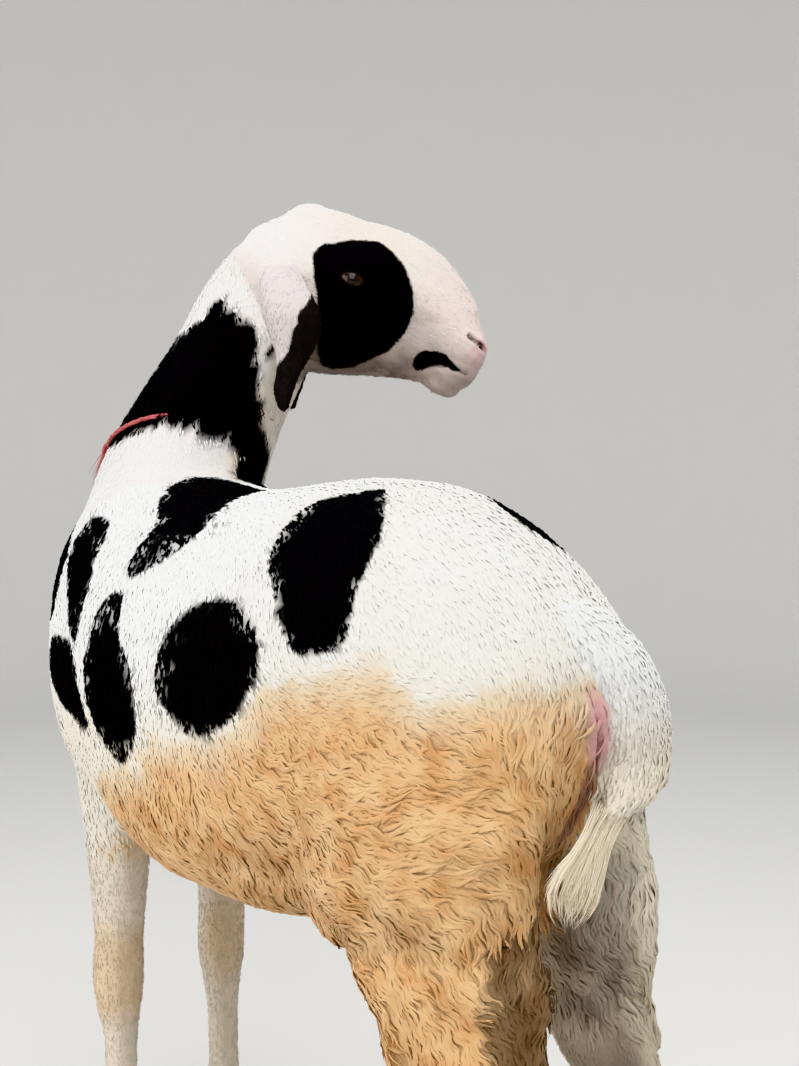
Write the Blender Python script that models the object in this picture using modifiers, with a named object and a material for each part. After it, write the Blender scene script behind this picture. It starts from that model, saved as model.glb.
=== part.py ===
"""Dumba sheep: a young polled ewe at life size, standing square with her neck raised and her
head turned back over her right side. Metres, +Z up; the body faces -Y and its left side is +X.
The trunk is a loft along a spine that curves a little to the right, and every size on the body
is given as (side, ahead, up): side to the left, ahead of mid-trunk, and up from the floor.
"""

import random
from math import atan2, cos, pi, radians, sin, sqrt, tau

import bmesh
import bpy
from mathutils import Matrix, Vector
from mathutils.bvhtree import BVHTree

# Driving sizes
SPINE_BEND = 0.637  # curvature of the spine seen from above, 1/m
PART_GAP = 0.00035  # clearance between two nodes that meet
FLESH_GRAIN = 0.0032  # grid of the body's voxel remesh
SEED = 11

# Trunk: ahead, top, bottom, half width
TRUNK_ROWS = [
    (-0.340, 0.600, 0.545, 0.045),
    (-0.328, 0.640, 0.505, 0.085),
    (-0.297, 0.683, 0.468, 0.113),
    (-0.250, 0.722, 0.443, 0.127),
    (-0.190, 0.750, 0.415, 0.137),
    (-0.110, 0.756, 0.388, 0.148),
    (-0.020, 0.745, 0.372, 0.156),
    (0.070, 0.736, 0.376, 0.157),
    (0.150, 0.738, 0.390, 0.148),
    (0.220, 0.744, 0.405, 0.135),
    (0.280, 0.744, 0.422, 0.123),
    (0.330, 0.726, 0.445, 0.105),
    (0.365, 0.684, 0.475, 0.078),
    (0.382, 0.630, 0.520, 0.042),
]
TRUNK_SQUARENESS = 2.25

# Neck: world x, y, z of its axis, half depth (nape to throat), half width
NECK_ROWS = [
    (-0.022, -0.230, 0.590, 0.115, 0.095),
    (-0.040, -0.285, 0.665, 0.122, 0.098),
    (-0.052, -0.304, 0.722, 0.104, 0.085),
    (-0.064, -0.297, 0.762, 0.094, 0.076),
    (-0.081, -0.281, 0.808, 0.083, 0.066),
    (-0.096, -0.262, 0.850, 0.072, 0.058),
    (-0.109, -0.244, 0.892, 0.067, 0.054),
    (-0.120, -0.232, 0.918, 0.062, 0.052),
    (-0.131, -0.220, 0.938, 0.054, 0.050),
]

# Head: its own frame has its origin at the poll, x to the nose, y to the left, z up
POLL = Vector((-0.137, -0.211, 0.998))
HEAD_HEADING = Vector((-0.809, 0.588, 0.0)).normalized()
HEAD_PITCH = radians(32.0)
# Distance to the nose, top, bottom, half width, height of the widest place
HEAD_ROWS = [
    (-0.030, -0.036, -0.100, 0.042, -0.062),
    (-0.005, -0.004, -0.122, 0.053, -0.058),
    (0.030, 0.0205, -0.136, 0.060, -0.050),
    (0.062, 0.027, -0.136, 0.062, -0.042),
    (0.092, 0.037, -0.128, 0.059, -0.042),
    (0.120, 0.040, -0.114, 0.049, -0.048),
    (0.148, 0.037, -0.098, 0.039, -0.046),
    (0.174, 0.028, -0.085, 0.034, -0.040),
    (0.196, 0.015, -0.078, 0.033, -0.040),
    (0.213, -0.002, -0.072, 0.031, -0.042),
    (0.225, -0.014, -0.062, 0.025, -0.040),
    (0.232, -0.026, -0.052, 0.013, -0.039),
]
EYE_PLACE = Vector((0.079, 0.0500, -0.031))  # in the head's frame, left eye
EYE_LOOK = Vector((0.22, 0.97, 0.08)).normalized()
EYE_RADIUS = 0.0135
LID_THICKNESS = 0.0022
EYE_OPENING = (0.0255, 0.0142)
MOUTH_CORNER = Vector((0.1780, 0.0, -0.0700))
MOUTH_FRONT = Vector((0.2204, 0.0, -0.0492))
MOUTH_GROOVE = 0.0012
MOUTH_ARCH = 0.0095  # rise of the lips' line between its corner and the front
# Plane between head and neck, in the head's frame
THROAT_POINT = Vector((-0.040, 0.0, -0.065))
THROAT_NORMAL = Vector((0.506, 0.0, 0.8625))
EAR_ROOT = Vector((0.021, 0.052, -0.052))
EAR_LENGTH = 0.140
EAR_WIDTH = 0.064
EAR_WALL = 0.0032
# Even steps down the ear: share of the width, shift towards the nose
EAR_ROWS = [
    (0.50, -0.0090),
    (0.72, -0.0085),
    (0.95, -0.0040),
    (0.98, 0.0020),
    (0.85, 0.0060),
    (0.58, 0.0055),
    (0.41, 0.0005),
    (0.35, -0.0030),
    (0.10, -0.0030),
]

# Legs: ahead of the leg's station, up, half width, half depth; side changes in the fifth column
FORELEG_ROWS = [
    (0.010, 0.580, 0.040, 0.078, -0.014),
    (0.006, 0.520, 0.042, 0.070, -0.006),
    (-0.002, 0.465, 0.037, 0.056, 0.0),
    (0.000, 0.415, 0.032, 0.043, 0.0),
    (0.000, 0.355, 0.027, 0.034, 0.0),
    (0.001, 0.300, 0.0235, 0.0265, 0.0),
    (0.004, 0.262, 0.0255, 0.0275, 0.0),
    (0.003, 0.232, 0.0225, 0.0240, 0.0),
    (0.000, 0.200, 0.0165, 0.0180, 0.0),
    (-0.001, 0.135, 0.0155, 0.0170, 0.0),
    (-0.001, 0.102, 0.0195, 0.0215, 0.0),
    (0.006, 0.074, 0.0165, 0.0180, 0.0),
    (0.016, 0.040, 0.0235, 0.0265, 0.0),
]
FORELEG_STATIONS = {"left": (0.076, 0.225), "right": (-0.050, 0.278)}
FORELEG_TURN_OUT = radians(4.0)
HINDLEG_ROWS = [
    (0.105, 0.640, 0.058, 0.090, -0.018),
    (0.088, 0.570, 0.062, 0.104, -0.006),
    (0.070, 0.500, 0.058, 0.098, 0.004),
    (0.052, 0.440, 0.049, 0.084, 0.007),
    (0.036, 0.388, 0.042, 0.070, 0.005),
    (0.022, 0.345, 0.034, 0.056, 0.002),
    (0.000, 0.310, 0.0275, 0.042, 0.0),
    (-0.012, 0.275, 0.0245, 0.0330, 0.0),
    (-0.012, 0.235, 0.0200, 0.0245, 0.0),
    (-0.008, 0.185, 0.0165, 0.0190, 0.0),
    (-0.003, 0.132, 0.0160, 0.0180, 0.0),
    (0.000, 0.102, 0.0200, 0.0225, 0.0),
    (0.008, 0.074, 0.0170, 0.0185, 0.0),
    (0.018, 0.040, 0.0235, 0.0265, 0.0),
]
HINDLEG_STATIONS = {"left": (0.082, -0.322), "right": (-0.056, -0.322)}
HINDLEG_TURN_OUT = radians(16.0)
CORONET = 0.038  # height of the top of the hooves
CLAW_LENGTH = 0.058
CLAW_WIDTH = 0.0235
CLAW_SPREAD = 0.0130  # of each claw's middle from the leg's

# Tail: side, ahead, up, half width, half thickness
TAIL_ROWS = [
    (0.004, -0.222, 0.668, 0.022, 0.016),
    (-0.008, -0.288, 0.655, 0.034, 0.026),
    (-0.033, -0.321, 0.626, 0.036, 0.027),
    (-0.049, -0.336, 0.588, 0.036, 0.024),
    (-0.051, -0.341, 0.552, 0.034, 0.020),
    (-0.032, -0.347, 0.529, 0.027, 0.016),
    (-0.006, -0.352, 0.514, 0.014, 0.010),
]
COLLAR_RADIUS = 0.0026
COLLAR_CENTRE = Vector((-0.066, -0.293, 0.778))
COLLAR_NORMAL = Vector((-0.10, -0.34, 1.0))
# Cuts between the trunk and its neighbours, as (ahead, up)
NECK_BASE_POINT = (0.195, 0.752)
NECK_BASE_NORMAL = (0.593, 0.805)
ELBOW_HEIGHT = 0.398
GROIN_POINT = (-0.235, 0.425)
GROIN_NORMAL = (-0.25, -0.97)
# Triangles kept
SKIN_TRIANGLES = 3300
HEAD_SKIN_TRIANGLES = 9400
# Wool locks of the thighs, flanks and belly
CORE_DROP = 0.0060  # the core under the locks lies this far inside the plain form
LOCK_ROWS = (0.046, 0.043)  # spacing up and ahead
LOCK_GAP = 0.032  # least distance between two roots
LOCK_LENGTH = (0.074, 0.094)
LOCK_WIDTH = (0.040, 0.050)
LOCK_RISE = 0.0068  # of a lock's back above the core
# Rings of a lock from root to tip: rise, width and thickness as shares of the greatest
LOCK_SHAPE = [
    (-0.90, 0.70, 0.80),
    (0.45, 1.00, 1.15),
    (0.90, 0.95, 1.05),
    (0.95, 0.74, 0.80),
    (0.70, 0.34, 0.45),
]
# Corners of a lock's ring: across and outward
LOCK_RING = [(1.0, -0.35), (0.50, 0.35), (-0.50, 0.35), (-1.0, -0.35), (0.0, -1.35)]
COAT_HOCK = 0.345  # height where the long wool ends on the hind legs
COAT_FRONT = 0.15  # how far ahead it reaches along the belly
TAIL_CLEARANCE = 0.030  # between a lock's axis and the tail
TASSEL_LOCKS = 6
TASSEL_LENGTH = (0.076, 0.098)


def clear_scene():
    for obj in list(bpy.data.objects):
        bpy.data.objects.remove(obj)


def bent(side, ahead, up):
    """A point of the straight body carried onto the curved spine."""
    turn = SPINE_BEND * ahead
    return Vector(
        (
            (cos(turn) - 1) / SPINE_BEND + side * cos(turn),
            -sin(turn) / SPINE_BEND - side * sin(turn),
            up,
        )
    )


def between(rows, share):
    """Catmull-Rom value of a table of rows at a share of its length."""
    place = min(max(share, 0.0), 1.0) * (len(rows) - 1)
    i = min(int(place), len(rows) - 2)
    t = place - i
    before, a, b, after = (
        rows[max(i - 1, 0)],
        rows[i],
        rows[i + 1],
        rows[min(i + 2, len(rows) - 1)],
    )
    return [
        0.5 * (2 * q + (r - p) * t + (2 * p - 5 * q + 4 * r - s) * t * t + (3 * q - p - 3 * r + s) * t ** 3)
        for p, q, r, s in zip(before, a, b, after)
    ]


def oval(squareness, count):
    """Unit superellipse as (across, up) pairs."""
    power = 2 / squareness
    ring = []
    for k in range(count):
        c, s = cos(tau * k / count), sin(tau * k / count)
        ring.append((abs(c) ** power * (1 if c > 0 else -1), abs(s) ** power * (1 if s > 0 else -1)))
    return ring


def add_object(name, mesh, collection):
    obj = bpy.data.objects.new(name, mesh)
    collection.objects.link(obj)
    return obj


def loft(name, rings, collection):
    """Closed skin over rings of points, each ring with the same count."""
    work = bmesh.new()
    made = [[work.verts.new(p) for p in ring] for ring in rings]
    for one, two in zip(made, made[1:]):
        for k in range(len(one)):
            j = (k + 1) % len(one)
            work.faces.new((one[k], one[j], two[j], two[k]))
    work.faces.new(list(reversed(made[0])))
    work.faces.new(made[-1])
    bmesh.ops.recalc_face_normals(work, faces=work.faces)
    mesh = bpy.data.meshes.new(name)
    work.to_mesh(mesh)
    work.free()
    return add_object(name, mesh, collection)


def ellipsoid(name, centre, radii, axes, collection):
    """Ellipsoid with its radii along the three columns of axes."""
    work = bmesh.new()
    bmesh.ops.create_uvsphere(work, u_segments=32, v_segments=18, radius=1.0)
    turn = axes.to_4x4() @ Matrix.Diagonal((*radii, 1.0))
    bmesh.ops.transform(work, matrix=Matrix.Translation(centre) @ turn, verts=work.verts)
    mesh = bpy.data.meshes.new(name)
    work.to_mesh(mesh)
    work.free()
    return add_object(name, mesh, collection)


def trunk(collection):
    rings = []
    for n in range(61):
        ahead, top, bottom, half = between(TRUNK_ROWS, n / 60)
        widest = bottom + 0.52 * (top - bottom)
        ring = []
        for across, rise in oval(TRUNK_SQUARENESS, 48):
            reach = top - widest if rise > 0 else widest - bottom
            ring.append(bent(across * half, ahead, widest + rise * reach))
        rings.append(ring)
    return loft("trunk", rings, collection)


def frame_along(rows, count, locate):
    """Points, tangents and sizes at even shares of a table of rows."""
    values = [between(rows, n / (count - 1)) for n in range(count)]
    points = [locate(v) for v in values]
    tangents = []
    for n in range(count):
        tangents.append((points[min(n + 1, count - 1)] - points[max(n - 1, 0)]).normalized())
    return values, points, tangents


def neck(collection):
    """Round-sided tube whose nape side turns with the head."""
    values, points, tangents = frame_along(NECK_ROWS, 41, lambda v: Vector(v[:3]))
    start, finish = bent(0, 1, 0) - bent(0, 0.9, 0), head_axes().col[0]
    rings = []
    for n, (value, point, along) in enumerate(zip(values, points, tangents)):
        share = n / (len(points) - 1)
        ahead = start.normalized().lerp(finish, share ** 1.5)
        throat = (ahead - along * ahead.dot(along)).normalized()
        left = throat.cross(along)
        rings.append(
            [point + throat * value[3] * c + left * value[4] * s for c, s in oval(2.0, 40)]
        )
    return loft("neck_tube", rings, collection)


def head_axes():
    ahead = HEAD_HEADING * cos(HEAD_PITCH) - Vector((0, 0, sin(HEAD_PITCH)))
    left = Vector((0, 0, 1)).cross(HEAD_HEADING)
    up = ahead.cross(left)
    return Matrix((ahead, left, up)).transposed()


def on_head(place, side=1):
    """World point of a place in the head's frame, mirrored for the right side."""
    return POLL + head_axes() @ Vector((place[0], place[1] * side, place[2]))


def skull(collection):
    rings = []
    for n in range(49):
        along, top, bottom, half, widest = between(HEAD_ROWS, n / 48)
        ring = []
        for across, rise in oval(2.15, 40):
            reach = top - widest if rise > 0 else widest - bottom
            pinch = 1.0 - 0.34 * max(0.0, -rise) ** 1.6 - 0.16 * max(0.0, rise) ** 2
            ring.append(on_head((along, across * half * pinch, widest + rise * reach)))
        rings.append(ring)
    return loft("skull", rings, collection)


def head_lumps(collection):
    """Brows, cheeks, poll, nose bridge, lips and chin, as ellipsoids in the head's frame."""
    axes = head_axes()
    lumps = [
        ((0.076, 0.044, -0.024), (0.026, 0.0185, 0.022), True),  # orbit
        ((0.058, 0.040, -0.078), (0.052, 0.024, 0.046), True),  # cheek
        ((0.024, 0.040, -0.052), (0.026, 0.022, 0.027), True),  # ear base
        ((0.018, 0.000, -0.014), (0.030, 0.036, 0.031), False),  # poll
        ((0.118, 0.000, 0.012), (0.070, 0.020, 0.027), False),  # nose bridge
        ((0.211, 0.014, -0.052), (0.021, 0.019, 0.019), True),  # upper lip
        ((0.205, 0.000, -0.069), (0.022, 0.021, 0.0125), False),  # chin
        ((0.216, 0.014, -0.026), (0.014, 0.014, 0.017), True),  # nostril wing
    ]
    made = []
    for n, (place, radii, paired) in enumerate(lumps):
        for side in (1, -1) if paired else (1,):
            made.append(ellipsoid(f"head_lump_{n}_{side}", on_head(place, side), radii, axes, collection))
    return made


def limb(name, rows, station, turn_out, collection):
    """Tube down a leg, its rings square to its line and turned outward, ending at the coronet."""
    side, ahead = station
    out = 1 if side > 0 else -1

    def locate(v):
        return bent(side + out * v[4], ahead + v[0], v[1])

    values, points, tangents = frame_along(rows, 61, locate)
    across = Matrix.Rotation(turn_out * out, 3, "Z") @ (bent(1, ahead, 0) - bent(0, ahead, 0))
    rings = []
    for value, point, along in zip(values, points, tangents):
        front = across.cross(along).normalized()
        rings.append(
            [point + across * value[2] * c + front * value[3] * s for c, s in oval(2.1, 32)]
        )
    foot = [Vector((p.x, p.y, CORONET / 3)) for p in rings[-1]]
    return loft(name, [*rings, foot], collection)


def body_lumps(collection):
    """Muscles and bones that shape the skin: (side, ahead, up), radii along side, ahead, up."""
    lumps = [
        ((0.068, 0.265, 0.560), (0.054, 0.082, 0.130)),  # shoulder
        ((0.060, 0.235, 0.680), (0.036, 0.066, 0.060)),  # shoulder blade
        ((0.066, -0.215, 0.600), (0.064, 0.092, 0.100)),  # rump muscle
        ((0.054, -0.270, 0.548), (0.050, 0.082, 0.088)),  # back of the thigh
        ((0.074, -0.170, 0.490), (0.056, 0.066, 0.095)),  # stifle
    ]
    axes = Matrix.Identity(3)
    made = []
    for n, (place, radii) in enumerate(lumps):
        for side in (1, -1):
            at = bent(place[0] * side, place[1], place[2])
            made.append(ellipsoid(f"body_lump_{n}_{side}", at, radii, axes, collection))
    return made


def tail_tube(collection):
    """The broad fat tail, which swings to the right and narrows to its twisted tip."""
    values, points, tangents = frame_along(TAIL_ROWS, 15, lambda v: bent(*v[:3]))
    rings = []
    for value, point, along in zip(values, points, tangents):
        across = (bent(1, value[1], 0) - bent(0, value[1], 0)).normalized()
        back = across.cross(along).normalized()
        across = along.cross(back)
        rings.append(
            [point + across * value[3] * c + back * value[4] * s for c, s in oval(2.3, 16)]
        )
    return loft("tail", rings, collection)


def evaluated_copy(obj, name, collection):
    """A plain mesh object of what the modifiers of obj make."""
    graph = bpy.context.evaluated_depsgraph_get()
    mesh = bpy.data.meshes.new_from_object(obj.evaluated_get(graph))
    mesh.transform(obj.matrix_world)
    return add_object(name, mesh, collection)


def joined(name, objects, collection):
    """One mesh of several, still as loose shells."""
    work = bmesh.new()
    for obj in objects:
        work.from_mesh(obj.data)
        bpy.data.objects.remove(obj)
    mesh = bpy.data.meshes.new(name)
    work.to_mesh(mesh)
    work.free()
    return add_object(name, mesh, collection)


def largest_shell(obj):
    """Drops every loose shell but the one with the most faces."""
    work = bmesh.new()
    work.from_mesh(obj.data)
    work.faces.ensure_lookup_table()
    seen, shells = set(), []
    for face in work.faces:
        if face.index in seen:
            continue
        seen.add(face.index)
        shell, edge = [face], [face]
        while edge:
            for loop in edge.pop().loops:
                for near in loop.edge.link_faces:
                    if near.index not in seen:
                        seen.add(near.index)
                        shell.append(near)
                        edge.append(near)
        shells.append(shell)
    shells.sort(key=len)
    for shell in shells[:-1]:
        bmesh.ops.delete(work, geom=shell, context="FACES")
    loose = [v for v in work.verts if not v.link_faces]
    bmesh.ops.delete(work, geom=loose, context="VERTS")
    work.to_mesh(obj.data)
    work.free()
    return obj


def softness(place):
    """How much the remeshed skin is smoothed here: full on the trunk, little on thin legs."""
    low, high = 0.28, 0.44
    return min(max((place.z - low) / (high - low), 0.12), 1.0)


def flesh(collection):
    """The whole body as one skin: lofts and lumps fused on a voxel grid and smoothed."""
    pieces = [trunk(collection), neck(collection), skull(collection)]
    pieces += head_lumps(collection) + body_lumps(collection)
    for name, station in FORELEG_STATIONS.items():
        pieces.append(limb("foreleg_" + name, FORELEG_ROWS, station, FORELEG_TURN_OUT, collection))
    for name, station in HINDLEG_STATIONS.items():
        pieces.append(limb("hindleg_" + name, HINDLEG_ROWS, station, HINDLEG_TURN_OUT, collection))
    whole = joined("whole", pieces, collection)
    remesh = whole.modifiers.new("fuse", "REMESH")
    remesh.mode = "VOXEL"
    remesh.voxel_size = FLESH_GRAIN
    fused = evaluated_copy(whole, "fused", collection)
    bpy.data.objects.remove(whole)
    return smoothed(fused, collection)


def smoothed(fused, collection):
    """Blends the creases where lofts meet; the head and the lower legs keep their shape."""
    soft = fused.vertex_groups.new(name="soft")
    to_head = head_axes().transposed()
    for vertex in fused.data.vertices:
        local = to_head @ (vertex.co - POLL)
        weight = softness(vertex.co)
        if vertex.co.z > 0.80 and local.x > 0.0:
            weight = max(0.22, 1.0 - local.x / 0.10)
        soft.add([vertex.index], weight, "REPLACE")
    smooth = fused.modifiers.new("soften", "SMOOTH")
    smooth.factor = 0.5
    smooth.iterations = 26
    smooth.vertex_group = "soft"
    made = evaluated_copy(fused, "skin", collection)
    bpy.data.objects.remove(fused)
    return made


def boolean(obj, operation, others, solver="MANIFOLD"):
    """obj joined with, or cut by, the closed objects in others, which are used up."""
    group = bpy.data.collections.new("cutters")
    bpy.context.scene.collection.children.link(group)
    for other in others:
        group.objects.link(other)
        other.display_type = "WIRE"
        other.hide_render = True
    step = obj.modifiers.new("step", "BOOLEAN")
    step.operation = operation
    step.solver = solver
    step.operand_type = "COLLECTION"
    step.collection = group
    name = obj.name
    made = evaluated_copy(obj, name + "_made", obj.users_collection[0])
    for other in [*others, obj]:
        bpy.data.objects.remove(other)
    bpy.data.collections.remove(group)
    made.name = name
    return made


def block(name, origin, axes, low, high, collection):
    """Box between two corners, low and high, in a frame of its own."""
    work = bmesh.new()
    bmesh.ops.create_cube(work, size=1.0)
    middle, size = (low + high) / 2, high - low
    place = Matrix.Translation(origin) @ axes.to_4x4()
    turn = place @ Matrix.Translation(middle) @ Matrix.Diagonal((*size, 1.0))
    bmesh.ops.transform(work, matrix=turn, verts=work.verts)
    mesh = bpy.data.meshes.new(name)
    work.to_mesh(mesh)
    work.free()
    return add_object(name, mesh, collection)


def copy_of(obj, name, collection):
    return add_object(name, obj.data.copy(), collection)


def thinned(obj, name, triangles, collection):
    """Copy of obj with about so many triangles."""
    source = copy_of(obj, name + "_source", collection)
    source.data.calc_loop_triangles()
    step = source.modifiers.new("thin", "DECIMATE")
    step.ratio = triangles / len(source.data.loop_triangles)
    step.use_collapse_triangulate = True
    made = evaluated_copy(source, name, collection)
    bpy.data.objects.remove(source)
    return made


def grown(obj, amount, collection):
    """Copy of obj swollen along its normals, for cutting a neighbour with clearance."""
    source = copy_of(obj, "swelling", collection)
    step = source.modifiers.new("swell", "DISPLACE")
    step.strength = amount
    step.mid_level = 0.0
    made = evaluated_copy(source, "grown", collection)
    bpy.data.objects.remove(source)
    return made


def upright_axes(normal):
    """Axes whose third column is normal and whose first lies level."""
    third = Vector(normal).normalized()
    first = third.orthogonal() if abs(third.z) > 0.999 else Vector((0, 0, 1)).cross(third)
    first.normalize()
    return Matrix((first, third.cross(first), third)).transposed()


def head_block(shift, collection):
    """Box round the head, its lower face on the throat plane moved along its normal."""
    axes = head_axes()
    normal = axes @ THROAT_NORMAL
    along = axes @ Vector((THROAT_NORMAL.z, 0, -THROAT_NORMAL.x))
    frame = Matrix((along, normal.cross(along), normal)).transposed()
    low, high = Vector((-0.14, -0.14, shift)), Vector((0.236, 0.14, 0.34))
    return block("head_block", on_head(THROAT_POINT), frame, low, high, collection)


def body_block(name, point, normal, shift, sides, reach, collection):
    """Box beyond a plane across the body; point and normal are (ahead, up) pairs."""
    ahead, up = point
    forward = (bent(0, ahead + 0.01, 0) - bent(0, ahead, 0)).normalized()
    third = forward * normal[0] + Vector((0, 0, normal[1]))
    left = Vector((0, 0, 1)).cross(forward)
    frame = Matrix((left.cross(third), left, third)).transposed()
    low = Vector((-reach, sides[0], shift))
    high = Vector((reach, sides[1], 0.60))
    return block(name, bent(0, ahead, up), frame, low, high, collection)


def neck_block(shift, collection):
    return body_block(
        "neck_block", NECK_BASE_POINT, NECK_BASE_NORMAL, shift, (-0.4, 0.4), 0.45, collection
    )


def hindleg_block(name, shift, collection):
    sides = (0.022, 0.25) if name == "left" else (-0.25, -0.016)
    if shift > 0:
        sides = (sides[0] + PART_GAP, sides[1]) if name == "left" else (sides[0], sides[1] - PART_GAP)
    return body_block(
        "hindleg_block", GROIN_POINT, GROIN_NORMAL, shift, sides, 0.19, collection
    )


def foreleg_block(name, shift, collection):
    """Box below the elbow, round one foreleg."""
    side = (0.001, 0.20) if name == "left" else (-0.20, -0.001)
    forward = (bent(0, 0.26, 0) - bent(0, 0.25, 0)).normalized()
    left = Vector((0, 0, 1)).cross(forward)
    frame = Matrix((forward, left, Vector((0, 0, 1)))).transposed()
    low = Vector((-0.13, side[0], -0.02))
    high = Vector((0.16, side[1], ELBOW_HEIGHT - shift))
    return block("foreleg_block", bent(0, 0.25, 0), frame, low, high, collection)


def claw(name, foot, heading, side, height, collection):
    """One claw: a pointed, slightly curved toe with a flat sole and a sloping front wall."""
    across = Vector((0, 0, 1)).cross(heading) * side
    rings = []
    for level, (lift, length, width, back) in enumerate(
        [
            (0.0, 1.00, 0.94, 0.0),
            (0.12, 1.00, 1.00, 0.0),
            (0.60, 0.86, 0.97, 0.035),
            (1.25, 0.68, 0.86, 0.08),
        ]
    ):
        ring = []
        for k in range(14):
            angle = tau * k / 14
            c, s = cos(angle), sin(angle)
            point_in = 1.0 - 0.42 * max(0.0, c) ** 2
            inner = 0.72 if s < 0 else 1.0
            forward = (0.5 * c - 0.04) * CLAW_LENGTH * length - CLAW_LENGTH * back
            outward = 0.5 * s * CLAW_WIDTH * width * point_in * inner
            turn_in = 0.0022 * max(0.0, c) ** 2
            spot = foot + heading * forward + across * (CLAW_SPREAD + outward - turn_in)
            ring.append(Vector((spot.x, spot.y, lift * height)))
        rings.append(ring)
    return loft(name, rings, collection)


def foot_frame(station, rows, turn_out):
    """Foot's middle on the floor and its heading."""
    side, ahead = station
    out = 1 if side > 0 else -1
    forward = bent(0, ahead + 0.01, 0) - bent(0, ahead, 0)
    heading = Matrix.Rotation(turn_out * out, 3, "Z") @ forward.normalized()
    place = bent(side, ahead + rows[-1][0], 0)
    return place + heading * 0.006, heading


def coronet_block(foot, heading, shift, collection):
    """Box above the sloping coronet of a foot."""
    third = Vector((0, 0, 1)) - heading * 0.30
    third.normalize()
    left = third.cross(heading).normalized()
    frame = Matrix((left.cross(third), left, third)).transposed()
    low, high = Vector((-0.09, -0.09, shift)), Vector((0.09, 0.09, 0.10))
    origin = foot + Vector((0, 0, CORONET - 0.006))
    return block("coronet_block", origin, frame, low, high, collection)


def tube(name, path, radius, closed, collection, sides=10):
    """Round cord along a path of points."""
    rings = []
    count = len(path)
    up = Vector((0, 0, 1))
    for n, point in enumerate(path):
        before = path[n - 1] if closed or n else point
        after = path[(n + 1) % count] if closed or n < count - 1 else point
        along = (after - before).normalized()
        first = along.cross(up).normalized()
        second = along.cross(first)
        size = radius(n / max(count - 1, 1)) if callable(radius) else radius
        rings.append(
            [
                point + (first * cos(tau * k / sides) + second * sin(tau * k / sides)) * size
                for k in range(sides)
            ]
        )
    if not closed:
        return loft(name, rings, collection)
    work = bmesh.new()
    made = [[work.verts.new(p) for p in ring] for ring in rings]
    for n in range(count):
        one, two = made[n], made[(n + 1) % count]
        for k in range(sides):
            j = (k + 1) % sides
            work.faces.new((one[k], one[j], two[j], two[k]))
    bmesh.ops.recalc_face_normals(work, faces=work.faces)
    mesh = bpy.data.meshes.new(name)
    work.to_mesh(mesh)
    work.free()
    return add_object(name, mesh, collection)


def tree_of(obj):
    work = bmesh.new()
    work.from_mesh(obj.data)
    tree = BVHTree.FromBMesh(work)
    work.free()
    return tree


def collar_path(tree, count):
    """Points of the neck's skin round a tilted plane."""
    axes = upright_axes(COLLAR_NORMAL)
    first, second = axes.col[0], axes.col[1]
    path = []
    for k in range(count):
        way = first * cos(tau * k / count) + second * sin(tau * k / count)
        hit = tree.ray_cast(COLLAR_CENTRE, way)[0]
        path.append(hit + way * COLLAR_RADIUS * 0.45)
    return path


def eye_axes(side):
    """Columns: along the lids, up across them, and out."""
    axes = head_axes()
    out = axes @ Vector((EYE_LOOK.x, EYE_LOOK.y * side, EYE_LOOK.z))
    lids = axes @ Vector((1.0, 0.0, 0.24))
    lids = (lids - out * lids.dot(out)).normalized()
    return Matrix((lids, out.cross(lids), out)).transposed()


def ball(name, centre, radius, collection, segments=18, rings=10):
    work = bmesh.new()
    bmesh.ops.create_uvsphere(work, u_segments=segments, v_segments=rings, radius=radius)
    bmesh.ops.translate(work, vec=centre, verts=work.verts)
    mesh = bpy.data.meshes.new(name)
    work.to_mesh(mesh)
    work.free()
    return add_object(name, mesh, collection)


def lid_opening(side, collection):
    """Almond-shaped prism that opens the lids over the front of the eye."""
    axes = eye_axes(side)
    centre = on_head(EYE_PLACE, side)
    outline = []
    for k in range(24):
        x = cos(tau * k / 24)
        rise = (1 - x * x) ** 0.62 * (1.0 if k < 12 else -0.86)
        outline.append((x * EYE_OPENING[0] / 2, rise * EYE_OPENING[1] / 2))
    rings = []
    for depth, swell in ((0.0064, 1.0), (0.0300, 1.25)):
        rings.append([centre + axes @ Vector((x * swell, y * swell, depth)) for x, y in outline])
    return loft("lid_opening", rings, collection)


def mouth_groove(tree, collection):
    """Line between the lips, from one corner round the front to the other."""
    axes = head_axes()
    middle = axes @ (MOUTH_FRONT - MOUTH_CORNER).normalized()
    left = axes.col[1]
    origin = on_head(MOUTH_CORNER + Vector((0.004, 0, 0.002)))
    path = []
    for k in range(23):
        share = k / 11 - 1
        angle = radians(98 * share)
        way = middle * cos(angle) + left * sin(angle)
        rise = axes.col[2] * MOUTH_ARCH * sin(angle) ** 2 * (1 - share**4)
        hit = tree.ray_cast(origin + rise + way * 0.12, -way)[0]
        path.append(hit - way * 0.0002)

    def size(t):
        return MOUTH_GROOVE * (0.35 + 0.65 * max(0.0, sin(pi * t)) ** 0.5)

    return tube("mouth_groove", path, size, False, collection, 8)


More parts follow.
